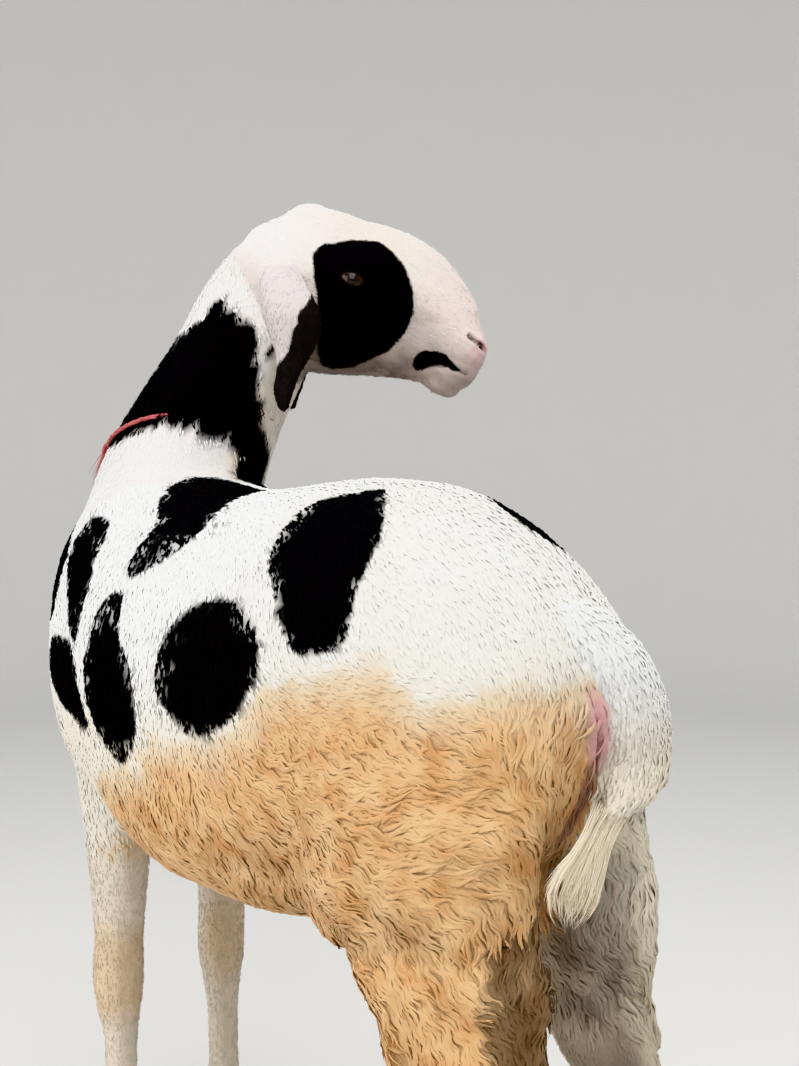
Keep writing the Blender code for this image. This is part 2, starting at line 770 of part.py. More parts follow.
def nostril(tree, side, collection):
    """Comma-shaped pit that curls back and up from the tip of the nose."""
    path = []
    for place, radius, depth in (
        ((0.2225, 0.0085, -0.0270), 0.0022, 0.0004),
        ((0.2205, 0.0125, -0.0215), 0.0032, 0.0006),
        ((0.2160, 0.0175, -0.0180), 0.0040, 0.0010),
        ((0.2105, 0.0210, -0.0163), 0.0034, 0.0008),
        ((0.2055, 0.0230, -0.0158), 0.0022, 0.0002),
    ):
        inside = on_head(Vector((place[0] - 0.03, 0.0, place[2])), side)
        spot = on_head(place, side)
        way = (spot - inside).normalized()
        hit = tree.ray_cast(inside + way * 0.08, -way)[0]
        path.append((hit - way * depth, radius))
    points = [p for p, _ in path]
    sizes = [r for _, r in path]

    def size(t):
        place = t * (len(sizes) - 1)
        i = min(int(place), len(sizes) - 2)
        return sizes[i] + (sizes[i + 1] - sizes[i]) * (place - i)

    return tube("nostril", points, size, False, collection, 8)


def straightened(place):
    """Side, ahead and up of a world point: bent() the other way."""
    centre = 1 / SPINE_BEND
    reach = sqrt((place.x + centre) ** 2 + place.y ** 2)
    return reach - centre, atan2(-place.y, place.x + centre) / SPINE_BEND, place.z


def wool_limit(ahead):
    """Height up to which the long wool of the thigh, flank and belly reaches."""
    return 0.590 - 0.44 * (ahead + 0.35)


def wool_depth(place):
    """Share of the core's drop at a world point, 1 inside the long wool."""
    _, ahead, up = straightened(place)
    inside = min(
        (wool_limit(ahead) - up) / 0.03, (up - COAT_HOCK + 0.02) / 0.03, (COAT_FRONT + 0.02 - ahead) / 0.03
    )
    return min(max(inside, 0.0), 1.0)


def lowered_core(skin):
    """Drops the skin inward where locks will stand on it."""
    normals = [v.normal.copy() for v in skin.data.vertices]
    for vertex, normal in zip(skin.data.vertices, normals):
        vertex.co -= normal * CORE_DROP * wool_depth(vertex.co)
    skin.data.update()


def wool_lie(ahead, up):
    """Direction of the wool as (ahead, up): backward on the flank, downward on the leg."""
    down = min(max((0.56 - up) / 0.16, 0.25), 1.0)
    return (-1.0 + 0.75 * down, -down)


def lock_path(tree, root, normal, way, length):
    """Places along the core from a root, each with its outward normal and its heading."""
    path = []
    spot, face = root.copy(), normal.copy()
    heading = (way - face * way.dot(face)).normalized()
    for _ in LOCK_SHAPE:
        path.append((spot, face, heading))
        spot, face, _, _ = tree.find_nearest(spot + heading * (length / (len(LOCK_SHAPE) - 1)))
        heading = (heading - face * heading.dot(face)).normalized()
    return path


def lock(name, path, width, collection):
    """Broad rounded lock that leaves the core at its root and waves along it to a blunt tip."""
    bend = random.uniform(-0.006, 0.006)
    wave = random.uniform(0.0, tau)
    lift = random.uniform(0.6, 1.5)
    rings = []
    for n, ((spot, face, heading), (rise, broad, thick)) in enumerate(zip(path, LOCK_SHAPE)):
        t = n / (len(LOCK_SHAPE) - 1)
        side = face.cross(heading).normalized()
        height = rise * (1.0 + (lift - 1.0) * t)
        middle = spot + side * (0.0040 * sin(wave + 5.0 * t) + bend * t * t) + face * LOCK_RISE * height
        half = side * (width / 2 * broad)
        rings.append(
            [middle + half * across + face * LOCK_RISE * thick * out for across, out in LOCK_RING]
        )
    return loft(name, rings, collection)


def lock_rays():
    """Start, aim and least facing of the rays that find the roots: from both sides and from behind."""
    step_up, step_ahead = LOCK_ROWS
    rays = []
    for row in range(int(0.29 / step_up)):
        up = COAT_HOCK + step_up * row + random.uniform(-0.006, 0.006)
        for column in range(int(0.56 / step_ahead)):
            ahead = -0.39 + step_ahead * (column + 0.5 * (row % 2)) + random.uniform(-0.006, 0.006)
            for out in (1, -1):
                rays.append((bent(0.35 * out, ahead, up), bent(0, ahead, up), 0.56))
        for column in range(-3, 4):
            side = step_ahead * (column + 0.5 * (row % 2)) + random.uniform(-0.005, 0.005)
            rays.append((bent(side, -0.60, up), bent(side, -0.30, up), 0.70))
    return rays


def lock_roots(tree):
    """Root point, outward normal and lie of each lock."""
    roots = []
    for start, aim, least in lock_rays():
        way = (aim - start).normalized()
        hit, normal, _, _ = tree.ray_cast(start, way)
        if hit is None or normal.dot(-way) < least or hit.z < COAT_HOCK:
            continue
        side, ahead, up = straightened(hit)
        if up > wool_limit(ahead) - 0.012 or ahead > COAT_FRONT:
            continue
        if any((hit - other[0]).length < LOCK_GAP for other in roots):
            continue
        back, down = wool_lie(ahead, up)
        forward = bent(0, ahead + 0.01, 0) - bent(0, ahead, 0)
        roots.append((hit, normal, forward.normalized() * back + Vector((0, 0, down))))
    return roots


def wool_locks(tree, tail_tree, collection):
    """The locks over the core, but none that would meet the tail."""
    made = []
    for n, (root, normal, way) in enumerate(lock_roots(tree)):
        turn = Matrix.Rotation(random.uniform(-0.3, 0.3), 3, normal)
        path = lock_path(tree, root, normal, turn @ way, random.uniform(*LOCK_LENGTH))
        width = random.uniform(*LOCK_WIDTH)
        if min(tail_tree.find_nearest(spot)[3] for spot, _, _ in path) > TAIL_CLEARANCE:
            made.append(lock(f"lock_{n}", path, width, collection))
    return made


def tassel(collection):
    """Long thin locks that hang from the tail's tip and curl at their ends."""
    made = []
    for n in range(TASSEL_LOCKS):
        spread = n / (TASSEL_LOCKS - 1) - 0.5
        length = random.uniform(*TASSEL_LENGTH)
        curl = random.uniform(0.2, 1.0)
        rings = []
        for k in range(7):
            t = k / 6
            tip = max(0.0, t - 0.6)
            side = -0.010 + 0.048 * sin(pi / 2 * min(t * 1.4, 1.0)) + 0.030 * spread * sin(pi * t)
            side -= 0.03 * curl * tip
            ahead = -0.350 + 0.012 * t - 0.006 * spread - 0.006 * curl * tip
            up = 0.526 - length * (0.25 * t + 0.75 * t * t) + 0.006 * spread
            half = 0.0095 * (0.75 + 0.5 * sin(pi * min(t * 1.25, 1.0))) * (1.0 - 0.72 * t * t)
            ring = []
            for across, through in ((1, 0), (0, 0.6), (-1, 0), (0, -0.6)):
                ring.append(bent(side + half * across, ahead + half * through, up + half * across * 0.5))
            rings.append(ring)
        made.append(loft(f"tassel_{n}", rings, collection))
    return made


def dewclaws(station, rows, turn_out, collection):
    """Two small horny knobs behind the fetlock."""
    foot, heading = foot_frame(station, rows, turn_out)
    across = Vector((0, 0, 1)).cross(heading)
    frame = Matrix((heading, across, Vector((0, 0, 1)))).transposed()
    fetlock = foot - heading * 0.040
    made = []
    for side in (1, -1):
        centre = fetlock + across * side * 0.0105 + Vector((0, 0, 0.088))
        work = bmesh.new()
        bmesh.ops.create_uvsphere(work, u_segments=8, v_segments=6, radius=1.0)
        turn = Matrix.Translation(centre) @ frame.to_4x4() @ Matrix.Diagonal((0.008, 0.006, 0.011, 1.0))
        bmesh.ops.transform(work, matrix=turn, verts=work.verts)
        mesh = bpy.data.meshes.new("dewclaw")
        work.to_mesh(mesh)
        work.free()
        made.append(add_object("dewclaw", mesh, collection))
    return made


def head_node(skin, collection):
    """The head with its lids, sockets, nostrils and the line of the mouth."""
    head = thinned(skin, "head", HEAD_SKIN_TRIANGLES, collection)
    head = largest_shell(boolean(head, "INTERSECT", [head_block(PART_GAP / 2, collection)]))
    tree = tree_of(head)
    lids = [
        ball("lid_ball", on_head(EYE_PLACE, side), EYE_RADIUS + LID_THICKNESS, collection, 20, 14)
        for side in (1, -1)
    ]
    head = boolean(head, "UNION", lids)
    cuts = [mouth_groove(tree, collection)]
    for side in (1, -1):
        socket = EYE_RADIUS + PART_GAP
        cuts.append(ball("socket", on_head(EYE_PLACE, side), socket, collection, 20, 14))
        cuts.append(lid_opening(side, collection))
        cuts.append(nostril(tree, side, collection))
    return largest_shell(boolean(head, "DIFFERENCE", cuts))


def ear(name, side, neighbours, collection):
    """Drooping leaf-shaped ear, cupped along its length, hung from the side of the head."""
    axes = head_axes()
    root = on_head(EAR_ROOT, side)
    outward = axes.col[1] * side
    backward = -HEAD_HEADING
    down = Vector((0, 0, -1))
    rings = []
    steps = 12
    for n in range(steps + 1):
        t = n / steps
        drop = EAR_LENGTH * t
        swing = 0.020 * sin(pi * min(t * 1.6, 1.0)) * (1 - t) + 0.006 * t
        share, forward = between(EAR_ROWS, t)
        centre = root + down * drop + outward * (swing + 0.002) + HEAD_HEADING * forward
        width = EAR_WIDTH / 2 * share
        fold = radians(96 - 58 * t)
        facing = radians(38 - 14 * t)
        convex = outward * cos(facing) + backward * sin(facing)
        across = down.cross(convex).normalized() * side
        wall = EAR_WALL * (1.9 - 1.2 * t) / 2
        radius = width / max(sin(min(fold, pi / 2)), 0.2)
        outer, inner = [], []
        for k in range(9):
            angle = fold * (k / 4 - 1)
            way = across * sin(angle) + convex * cos(angle)
            thick = wall * (1.0 - 0.45 * abs(k / 4 - 1) ** 3)
            base = centre + way * radius - convex * radius * 0.55
            outer.append(base + way * thick)
            inner.append(base - way * thick)
        rings.append(outer + inner[::-1])
    shape = loft(name, rings, collection)
    for near in neighbours:
        shape = boolean(shape, "DIFFERENCE", [grown(near, PART_GAP, collection)])
    return largest_shell(shape)


def finish_mesh(obj, angle=40):
    """Triangles and smooth shading; near doubles are merged only where the skin stays closed."""
    work = bmesh.new()
    work.from_mesh(obj.data)
    bmesh.ops.remove_doubles(work, verts=work.verts, dist=0.000002)
    if not all(edge.is_manifold for edge in work.edges):
        work.free()
        work = bmesh.new()
        work.from_mesh(obj.data)
    bmesh.ops.triangulate(work, faces=work.faces)
    bmesh.ops.recalc_face_normals(work, faces=work.faces)
    work.to_mesh(obj.data)
    work.free()
    largest_shell(obj)
    obj.data.shade_smooth()
    obj.data.set_sharp_from_angle(angle=radians(angle))


def colour_of(red, green, blue):
    """Linear colour of an sRGB triple in 0 to 255."""
    return tuple(
        (c / 255 / 12.92 if c <= 10 else ((c / 255 + 0.055) / 1.055) ** 2.4) for c in (red, green, blue)
    ) + (1.0,)


def surface(name, colour, roughness):
    material = bpy.data.materials.new(name)
    material.use_nodes = True
    shader = material.node_tree.nodes["Principled BSDF"]
    shader.inputs["Base Color"].default_value = colour
    shader.inputs["Roughness"].default_value = roughness
    shader.inputs["Metallic"].default_value = 0.0
    return material


def paint(objects, material):
    for obj in objects:
        obj.data.materials.clear()
        obj.data.materials.append(material)


def centred(parts):
    """Moves every part so that the sheep's box is centred over the origin, hooves on the floor."""
    corners = [v.co for part in parts for v in part.data.vertices]
    low = [min(c[i] for c in corners) for i in range(3)]
    high = [max(c[i] for c in corners) for i in range(3)]
    move = Vector((-(low[0] + high[0]) / 2, -(low[1] + high[1]) / 2, -low[2]))
    for part in parts:
        part.data.transform(Matrix.Translation(move))
    return move


def legs_and_claws(body, collection):
    """Each leg cut off below the trunk and at its coronet, and the two claws under it."""
    legs, claws = [], []
    plans = [
        ("foreleg", FORELEG_STATIONS, FORELEG_ROWS, FORELEG_TURN_OUT, foreleg_block),
        ("hind_leg", HINDLEG_STATIONS, HINDLEG_ROWS, HINDLEG_TURN_OUT, hindleg_block),
    ]
    for kind, stations, rows, turn_out, make_block in plans:
        for which, station in stations.items():
            foot, heading = foot_frame(station, rows, turn_out)
            leg = copy_of(body, f"{kind}_{which}", collection)
            leg = boolean(leg, "INTERSECT", [make_block(which, PART_GAP / 2, collection)])
            leg = boolean(leg, "INTERSECT", [leg_column(foot, heading, collection)])
            leg = boolean(leg, "UNION", dewclaws(station, rows, turn_out, collection))
            legs.append(largest_shell(leg))
            out = 1 if station[0] > 0 else -1
            for place, side in (("inner", -out), ("outer", out)):
                name = f"claw_{kind}_{which}_{place}"
                toe = claw(name, foot, heading, side, CORONET, collection)
                above = coronet_block(foot, heading, -PART_GAP / 2, collection)
                claws.append(boolean(toe, "DIFFERENCE", [above]))
    return legs, claws


def leg_column(foot, heading, collection):
    """Tall box above the coronet of a foot, as wide as a leg needs."""
    third = Vector((0, 0, 1)) - heading * 0.30
    third.normalize()
    left = third.cross(heading).normalized()
    frame = Matrix((left.cross(third), left, third)).transposed()
    low, high = Vector((-0.30, -0.40, PART_GAP / 2)), Vector((0.40, 0.40, 0.80))
    origin = foot + Vector((0, 0, CORONET - 0.006))
    return block("leg_column", origin, frame, low, high, collection)


def main():
    random.seed(SEED)
    clear_scene()
    sheep = bpy.data.collections.new("dumba_sheep")
    bpy.context.scene.collection.children.link(sheep)
    skin = largest_shell(flesh(sheep))
    head = head_node(skin, sheep)
    ring = collar_path(tree_of(skin), 28)
    lowered_core(skin)
    core = largest_shell(thinned(skin, "core", SKIN_TRIANGLES, sheep))
    tail = boolean(tail_tube(sheep), "UNION", tassel(sheep))
    locks = wool_locks(tree_of(skin), tree_of(tail), sheep)
    tail = largest_shell(boolean(tail, "DIFFERENCE", [grown(core, 2 * PART_GAP, sheep)]))
    body = largest_shell(boolean(core, "UNION", locks))
    legs, claws = legs_and_claws(body, sheep)
    neck_part = copy_of(body, "neck", sheep)
    neck_part = boolean(neck_part, "INTERSECT", [neck_block(PART_GAP / 2, sheep)])
    neck_part = boolean(neck_part, "DIFFERENCE", [head_block(-PART_GAP / 2, sheep)])
    groove = tube("groove", ring, COLLAR_RADIUS + 2 * PART_GAP, True, sheep, 6)
    neck_part = largest_shell(boolean(neck_part, "DIFFERENCE", [groove]))
    collar = tube("collar", ring, COLLAR_RADIUS * 0.9, True, sheep, 6)
    torso = copy_of(body, "torso", sheep)
    away = [neck_block(-PART_GAP / 2, sheep), head_block(-PART_GAP / 2, sheep)]
    away += [foreleg_block(which, -PART_GAP / 2, sheep) for which in FORELEG_STATIONS]
    away += [hindleg_block(which, -PART_GAP / 2, sheep) for which in HINDLEG_STATIONS]
    for piece in away:
        torso = boolean(torso, "DIFFERENCE", [piece])
    torso = largest_shell(torso)
    near_ears = (head, neck_part)
    ears = [ear("ear_left", 1, near_ears, sheep), ear("ear_right", -1, near_ears, sheep)]
    eyes = [
        ball("eye_" + which, on_head(EYE_PLACE, side), EYE_RADIUS, sheep)
        for which, side in (("left", 1), ("right", -1))
    ]
    for scrap in (skin, body):
        bpy.data.objects.remove(scrap)
    wool = [torso, neck_part, head, tail, *legs, *ears]
    parts = wool + eyes + claws + [collar]
    for part in parts:
        finish_mesh(part)
    paint([torso, neck_part, tail, *legs], surface("fleece", colour_of(226, 214, 196), 0.95))
    paint([head, *ears], surface("short_hair", colour_of(232, 222, 212), 0.85))
    paint(eyes, surface("eye", colour_of(58, 38, 22), 0.08))
    paint(claws, surface("horn", colour_of(96, 84, 70), 0.45))
    paint([collar], surface("cord", colour_of(178, 62, 62), 0.8))
    return centred(parts)


SHIFT = main()
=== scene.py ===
"""Dumba ewe, life size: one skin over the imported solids, wool and short hair laid over it in tufts,
eyes with lids, horn hooves, a thin twisted collar, and the studio stage with its camera.

The frame of the body is straightened for the coat: side (left of the spine), ahead (of
mid-trunk) and up (from the floor), all in metres, as the trunk curves a little to the right.
"""

from math import cos, pi, radians, sin, sqrt, tau

import bmesh
import bpy
import numpy as np
from mathutils import Matrix, Vector
from mathutils.bvhtree import BVHTree


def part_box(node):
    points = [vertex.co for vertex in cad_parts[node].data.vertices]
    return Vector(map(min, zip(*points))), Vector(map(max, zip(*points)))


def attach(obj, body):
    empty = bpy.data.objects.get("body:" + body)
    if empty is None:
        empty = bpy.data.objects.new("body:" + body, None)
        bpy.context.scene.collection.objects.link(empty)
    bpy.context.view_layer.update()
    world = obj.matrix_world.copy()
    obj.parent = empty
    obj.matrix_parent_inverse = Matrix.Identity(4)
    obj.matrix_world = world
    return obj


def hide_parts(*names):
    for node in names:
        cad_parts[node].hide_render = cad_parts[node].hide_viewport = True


bl_info = {
    "name": "Dumba sheep",
    "version": (1, 0, 0),
    "blender": (4, 5, 0),
    "location": "3D View > Sidebar > Sheep",
    "description": "Builds the skin, coat, eyes, hooves and collar of a life-size dumba ewe",
    "category": "Object",
}

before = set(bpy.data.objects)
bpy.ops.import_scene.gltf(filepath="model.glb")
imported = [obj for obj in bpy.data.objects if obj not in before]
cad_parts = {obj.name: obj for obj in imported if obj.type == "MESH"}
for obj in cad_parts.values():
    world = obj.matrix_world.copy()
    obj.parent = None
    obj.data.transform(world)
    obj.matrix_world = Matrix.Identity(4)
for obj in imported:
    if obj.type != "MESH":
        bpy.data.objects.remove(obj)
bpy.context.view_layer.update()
rng = np.random.default_rng(7)

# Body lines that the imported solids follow, in metres
SPINE_BEND = 0.637  # curvature of the spine seen from above, 1/m
PHOTO_BACK = Vector((0.588, 0.809, 0.0))  # from the body towards the photograph's camera
PHOTO_RIGHT = Vector((-0.809, 0.588, 0.0))  # to the right in the photograph
HEAD_HEADING = PHOTO_RIGHT.normalized()
HEAD_PITCH = radians(32.0)
EYE_PLACE = Vector((0.079, 0.0500, -0.031))  # in the head's frame, left eye
EYE_LOOK = Vector((0.22, 0.97, 0.08)).normalized()
EYE_OPENING = (0.0255, 0.0142)
EAR_ROOT = (0.021, 0.052, -0.052)
EAR_LENGTH = 0.140
TRUNK_MIDDLE = 0.565  # height of the trunk's axis
TRUNK_HALVES = (0.155, 0.185)  # half width and half height of the trunk
GIRTH_RADIUS = 0.17  # turns an angle round the trunk into a length
VULVA_PLACE = (-0.002, 0.579)  # side, up
# Crease between the left thigh and the tail: a little bare skin, and painted shadow
CREASE_PLACE = (0.003, 0.522)  # side, up
TAIL_TIP = (-0.006, -0.352, 0.514)  # side, ahead, up
NECK_SPOT = (0.0360, 0.8620)  # length round the neck, height
# Neck's axis below the poll, as offsets from the poll: x, y, z
NECK_AXIS = [
    (0.097, -0.074, -0.333), (0.085, -0.093, -0.276), (0.073, -0.086, -0.236), (0.056, -0.070, -0.190),
    (0.041, -0.051, -0.148), (0.028, -0.033, -0.106), (0.017, -0.021, -0.080),
]
FLESH = [
    "torso", "neck", "head", "tail", "foreleg_left", "foreleg_right", "hind_leg_left", "hind_leg_right",
    "ear_left", "ear_right",
]
LEGS = FLESH[4:8]
EARS = FLESH[8:]
HEAD_AND_EARS = ["head", *EARS]
WOOLLY = ["torso", "hind_leg_left", "hind_leg_right"]  # nodes that the long wool may cover
COAT_PIECE_FACES = 190000


def head_axes():
    """Columns: to the nose, to the left, up."""
    ahead = HEAD_HEADING * cos(HEAD_PITCH) - Vector((0, 0, sin(HEAD_PITCH)))
    left = Vector((0, 0, 1)).cross(HEAD_HEADING)
    return Matrix((ahead, left, ahead.cross(left))).transposed()


def eye_centre(side):
    low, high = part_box("eye_left" if side > 0 else "eye_right")
    return (low + high) / 2


HEAD = head_axes()
POLL = eye_centre(1) - HEAD @ EYE_PLACE
EYE_RADIUS = (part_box("eye_left")[1].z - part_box("eye_left")[0].z) / 2
# Where the straight body's zero lies in the shared frame
ZERO = POLL - Vector((-0.137, -0.211, 0.998))


# Sizes and colours


def linear(code):
    """Linear colour of an sRGB hex value."""
    parts = [int(code[n : n + 2], 16) / 255 for n in (1, 3, 5)]
    return [c / 12.92 if c <= 0.04045 else ((c + 0.055) / 1.055) ** 2.4 for c in parts] + [1.0]


def size_property(name, description, default):
    return bpy.props.FloatProperty(
        name=name, description=description, default=default, min=0.0, subtype="DISTANCE", unit="LENGTH"
    )


def colour_property(name, description, code):
    return bpy.props.FloatVectorProperty(
        name=name,
        description=description,
        default=linear(code),
        size=4,
        min=0.0,
        max=1.0,
        subtype="COLOR",
    )


class SheepSizes(bpy.types.PropertyGroup):
    """Sizes of the coat and trim."""

    skin_grain: size_property("Skin grid", "Grid on which the solids are fused into one skin", 0.0021)
    wavy_length: size_property("Wavy wool", "Length of the wool on belly, flank and thigh", 0.023)
    wavy_width: size_property("Wavy lock width", "Width of one lock of the wavy wool", 0.0031)
    crimp_length: size_property("Crimped wool", "Length of the short wool on back and rump", 0.0120)
    crimp_width: size_property("Crimped lock width", "Width of one lock of the short wool", 0.0028)
    hair_length: size_property("Short hair", "Length of the hair on head, neck and legs", 0.0064)
    hair_width: size_property("Hair tuft width", "Width of one tuft of the short hair", 0.0014)
    collar_radius: size_property("Collar cord", "Radius of the collar's cord", 0.0021)


class SheepColours(bpy.types.PropertyGroup):
    """Colours of the coat, skin and trim."""

    white: colour_property("White wool", "Wool and hair where it is white", "#EDEDEB")
    cream: colour_property("Cream wool", "Hair of the legs and tail", "#E4D7BC")
    tan: colour_property("Tan wool", "Stained wool of the belly and thigh", "#E4BE8E")
    rust: colour_property("Deep tan", "Darker streaks in the tan", "#C68F5C")
    black: colour_property("Black wool", "The black patches", "#080708")
    pink: colour_property("Bare skin", "Thinly haired skin", "#D8A5A8")
    flesh: colour_property("Skin under hair", "Skin that shines through short hair", "#E3BFB4")
    horn: colour_property("Horn", "The hooves", "#5A4B3C")
    cord: colour_property("Cord", "The faded collar", "#9E3B40")


# Small tools


def show(obj, nodes=()):
    """Puts a new piece on the body and the nodes it stands for."""
    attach(obj, "root")
    if nodes:
        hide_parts(*nodes)
    return obj


def new_object(name, data):
    """Object of a mesh, a light or a camera, in the scene."""
    obj = bpy.data.objects.new(name, data)
    bpy.context.scene.collection.objects.link(obj)
    return obj


def mesh_from(name, points, faces):
    """Mesh of an array of points and an array of equal-sided faces."""
    mesh = bpy.data.meshes.new(name)
    count, sides = faces.shape
    mesh.vertices.add(len(points))
    mesh.vertices.foreach_set("co", points.astype(np.float32).ravel())
    mesh.loops.add(count * sides)
    mesh.loops.foreach_set("vertex_index", faces.astype(np.int32).ravel())
    mesh.polygons.add(count)
    mesh.polygons.foreach_set("loop_start", np.arange(0, count * sides, sides, dtype=np.int32))
    mesh.update(calc_edges=True)
    mesh.shade_smooth()
    return mesh


def put(mesh, name, values):
    """Stores one number per vertex."""
    attribute = mesh.attributes.get(name) or mesh.attributes.new(name, "FLOAT", "POINT")
    attribute.data.foreach_set("value", values.astype(np.float32))


def take(mesh, name):
    """One stored number per vertex."""
    values = np.zeros(len(mesh.vertices), np.float32)
    mesh.attributes[name].data.foreach_get("value", values)
    return values


def gathered(rows, key, width, kind):
    """Array of one property of every row of a mesh."""
    values = np.zeros(len(rows) * width, kind)
    rows.foreach_get(key, values)
    return values.reshape(-1, width)


def points_of(mesh):
    return gathered(mesh.vertices, "co", 3, np.float32).astype(float)


def normals_of(mesh):
    return gathered(mesh.vertex_normals, "vector", 3, np.float32).astype(float)


def edges_of(mesh):
    return gathered(mesh.edges, "vertices", 2, np.int32)


def triangles_of(mesh):
    mesh.calc_loop_triangles()
    return gathered(mesh.loop_triangles, "vertices", 3, np.int32)


def move_points(mesh, points):
    mesh.vertices.foreach_set("co", points.astype(np.float32).ravel())
    mesh.update()


def neighbour_mean(values, edges):
    """Mean of each vertex's neighbours, for an array of vectors."""
    ends = np.concatenate([edges[:, 0], edges[:, 1]])
    others = np.concatenate([edges[:, 1], edges[:, 0]])
    count = np.maximum(np.bincount(ends, minlength=len(values)), 1)
    sums = [np.bincount(ends, values[others, n], len(values)) for n in range(values.shape[1])]
    return np.stack(sums, 1) / count[:, None]


def ramp(values, low, high):
    """0 below low, 1 above high, smooth between."""
    t = np.clip((values - low) / (high - low), 0, 1)
    return t * t * (3 - 2 * t)


def drift(points, size, seed):
    """Smooth noise from -1 to 1 with lumps about size metres across."""
    place = points / size + seed * 17.31
    cell = np.floor(place).astype(np.int64)
    t = place - cell
    t = t * t * (3 - 2 * t)
    total = np.zeros(len(points))
    for corner in range(8):
        step = np.array([corner & 1, corner >> 1 & 1, corner >> 2 & 1])
        key = (cell + step) * np.array([73856093, 19349663, 83492791])
        key = (key[:, 0] ^ key[:, 1] ^ key[:, 2]) & 0xFFFFFFFF
        key = ((key ^ (key >> 13)) * 1274126177) & 0xFFFFFFFF
        value = ((key ^ (key >> 16)) & 0xFFFF) / 32767.5 - 1
        weight = np.prod(np.where(step, t, 1 - t), axis=1)
        total += value * weight
    return total


def unit(vectors):
    return vectors / np.maximum(np.linalg.norm(vectors, axis=1, keepdims=True), 1e-9)


def straightened(points):
    """Side, ahead and up of points."""
    x = points[:, 0] - ZERO.x + 1 / SPINE_BEND
    y = points[:, 1] - ZERO.y
    return np.hypot(x, y) - 1 / SPINE_BEND, np.arctan2(-y, x) / SPINE_BEND, points[:, 2]


def bent(side, ahead, up):
    """A point of the straight body on the curved one."""
    turn = SPINE_BEND * ahead
    centre = 1 / SPINE_BEND
    return ZERO + Vector(((centre + side) * cos(turn) - centre, -(centre + side) * sin(turn), up))


def in_head(points):
    """Points in the head's frame: to the nose, to the left, up."""
    return (points - np.array(POLL)) @ np.array(HEAD)


def girth_of(side, up):
    """Length round the trunk from its left side, over the back and on to the right side."""
    wide, high = TRUNK_HALVES
    angle = np.arctan2((up - TRUNK_MIDDLE) / high, side / wide)
    return np.where(angle < -pi / 2, angle + tau, angle) * GIRTH_RADIUS


# Markings

# Black patches of the trunk's left side, as outlines of (ahead, girth)
LEFT_PATCHES = [
    [  # round one on the flank
        (-0.069, 0.093), (-0.090, 0.096), (-0.112, 0.089), (-0.129, 0.076), (-0.135, 0.060),
        (-0.133, 0.044), (-0.124, 0.025), (-0.108, 0.008), (-0.090, -0.003), (-0.072, -0.008),
        (-0.052, -0.006), (-0.035, 0.003), (-0.020, 0.014), (-0.015, 0.026), (-0.017, 0.045),
        (-0.022, 0.060), (-0.034, 0.074), (-0.050, 0.087),
    ],
    [  # tall one behind the elbow
        (0.078, 0.084), (0.062, 0.082), (0.056, 0.066), (0.047, 0.050), (0.032, 0.041), (0.022, 0.027),
        (0.014, 0.010), (0.012, -0.009), (0.018, -0.029), (0.037, -0.047), (0.058, -0.044),
        (0.078, -0.034), (0.093, -0.023), (0.108, -0.010), (0.115, 0.006), (0.115, 0.024),
        (0.109, 0.040), (0.106, 0.056), (0.097, 0.075),
    ],
    [  # low on the shoulder
        (0.262, 0.027), (0.210, 0.035), (0.165, 0.033), (0.142, 0.014), (0.130, -0.002),
        (0.117, -0.019), (0.110, -0.030), (0.125, -0.037), (0.164, -0.035), (0.206, -0.038),
        (0.252, -0.039), (0.290, -0.024), (0.300, -0.006), (0.285, 0.016),
    ],
    [  # slanting one on the shoulder
        (0.229, 0.153), (0.193, 0.153), (0.165, 0.135), (0.155, 0.113), (0.144, 0.090), (0.139, 0.068),
        (0.142, 0.045), (0.148, 0.029), (0.163, 0.037), (0.185, 0.059), (0.212, 0.082), (0.234, 0.103),
        (0.248, 0.122), (0.241, 0.142),
    ],
    [  # round the chest
        (0.262, 0.050), (0.250, 0.075), (0.248, 0.105), (0.270, 0.130), (0.298, 0.150), (0.330, 0.150),
        (0.360, 0.120), (0.360, 0.070), (0.330, 0.045), (0.290, 0.042),
    ],
    [  # crescent over the withers
        (0.074, 0.099), (0.084, 0.122), (0.084, 0.146), (0.105, 0.164), (0.127, 0.181), (0.162, 0.207),
        (0.190, 0.238), (0.207, 0.270), (0.200, 0.297), (0.150, 0.300), (0.092, 0.287), (0.055, 0.268),
        (0.036, 0.240), (0.024, 0.205), (0.012, 0.178), (0.000, 0.152), (0.010, 0.130), (0.030, 0.113),
        (0.055, 0.100),
    ],
    [  # slanting one on the loin
        (-0.122, 0.201), (-0.141, 0.217), (-0.158, 0.229), (-0.180, 0.207), (-0.200, 0.180),
        (-0.207, 0.155), (-0.208, 0.128), (-0.212, 0.104), (-0.211, 0.086), (-0.201, 0.074),
        (-0.185, 0.067), (-0.168, 0.068), (-0.156, 0.080), (-0.143, 0.095), (-0.132, 0.110),
        (-0.117, 0.126), (-0.110, 0.145), (-0.109, 0.170), (-0.113, 0.188),
    ],
]
# Patches of the right side: ahead, girth, half length, half breadth, tilt in degrees
RIGHT_PATCHES = [
    (-0.205, 0.352, 0.050, 0.038, 25),  # rump
    (-0.050, 0.400, 0.074, 0.052, -18),  # flank
    (0.110, 0.450, 0.052, 0.086, 8),  # behind the elbow
    (0.232, 0.380, 0.042, 0.058, 0),  # shoulder
    (-0.160, 0.478, 0.046, 0.036, 20),  # low on the loin
]
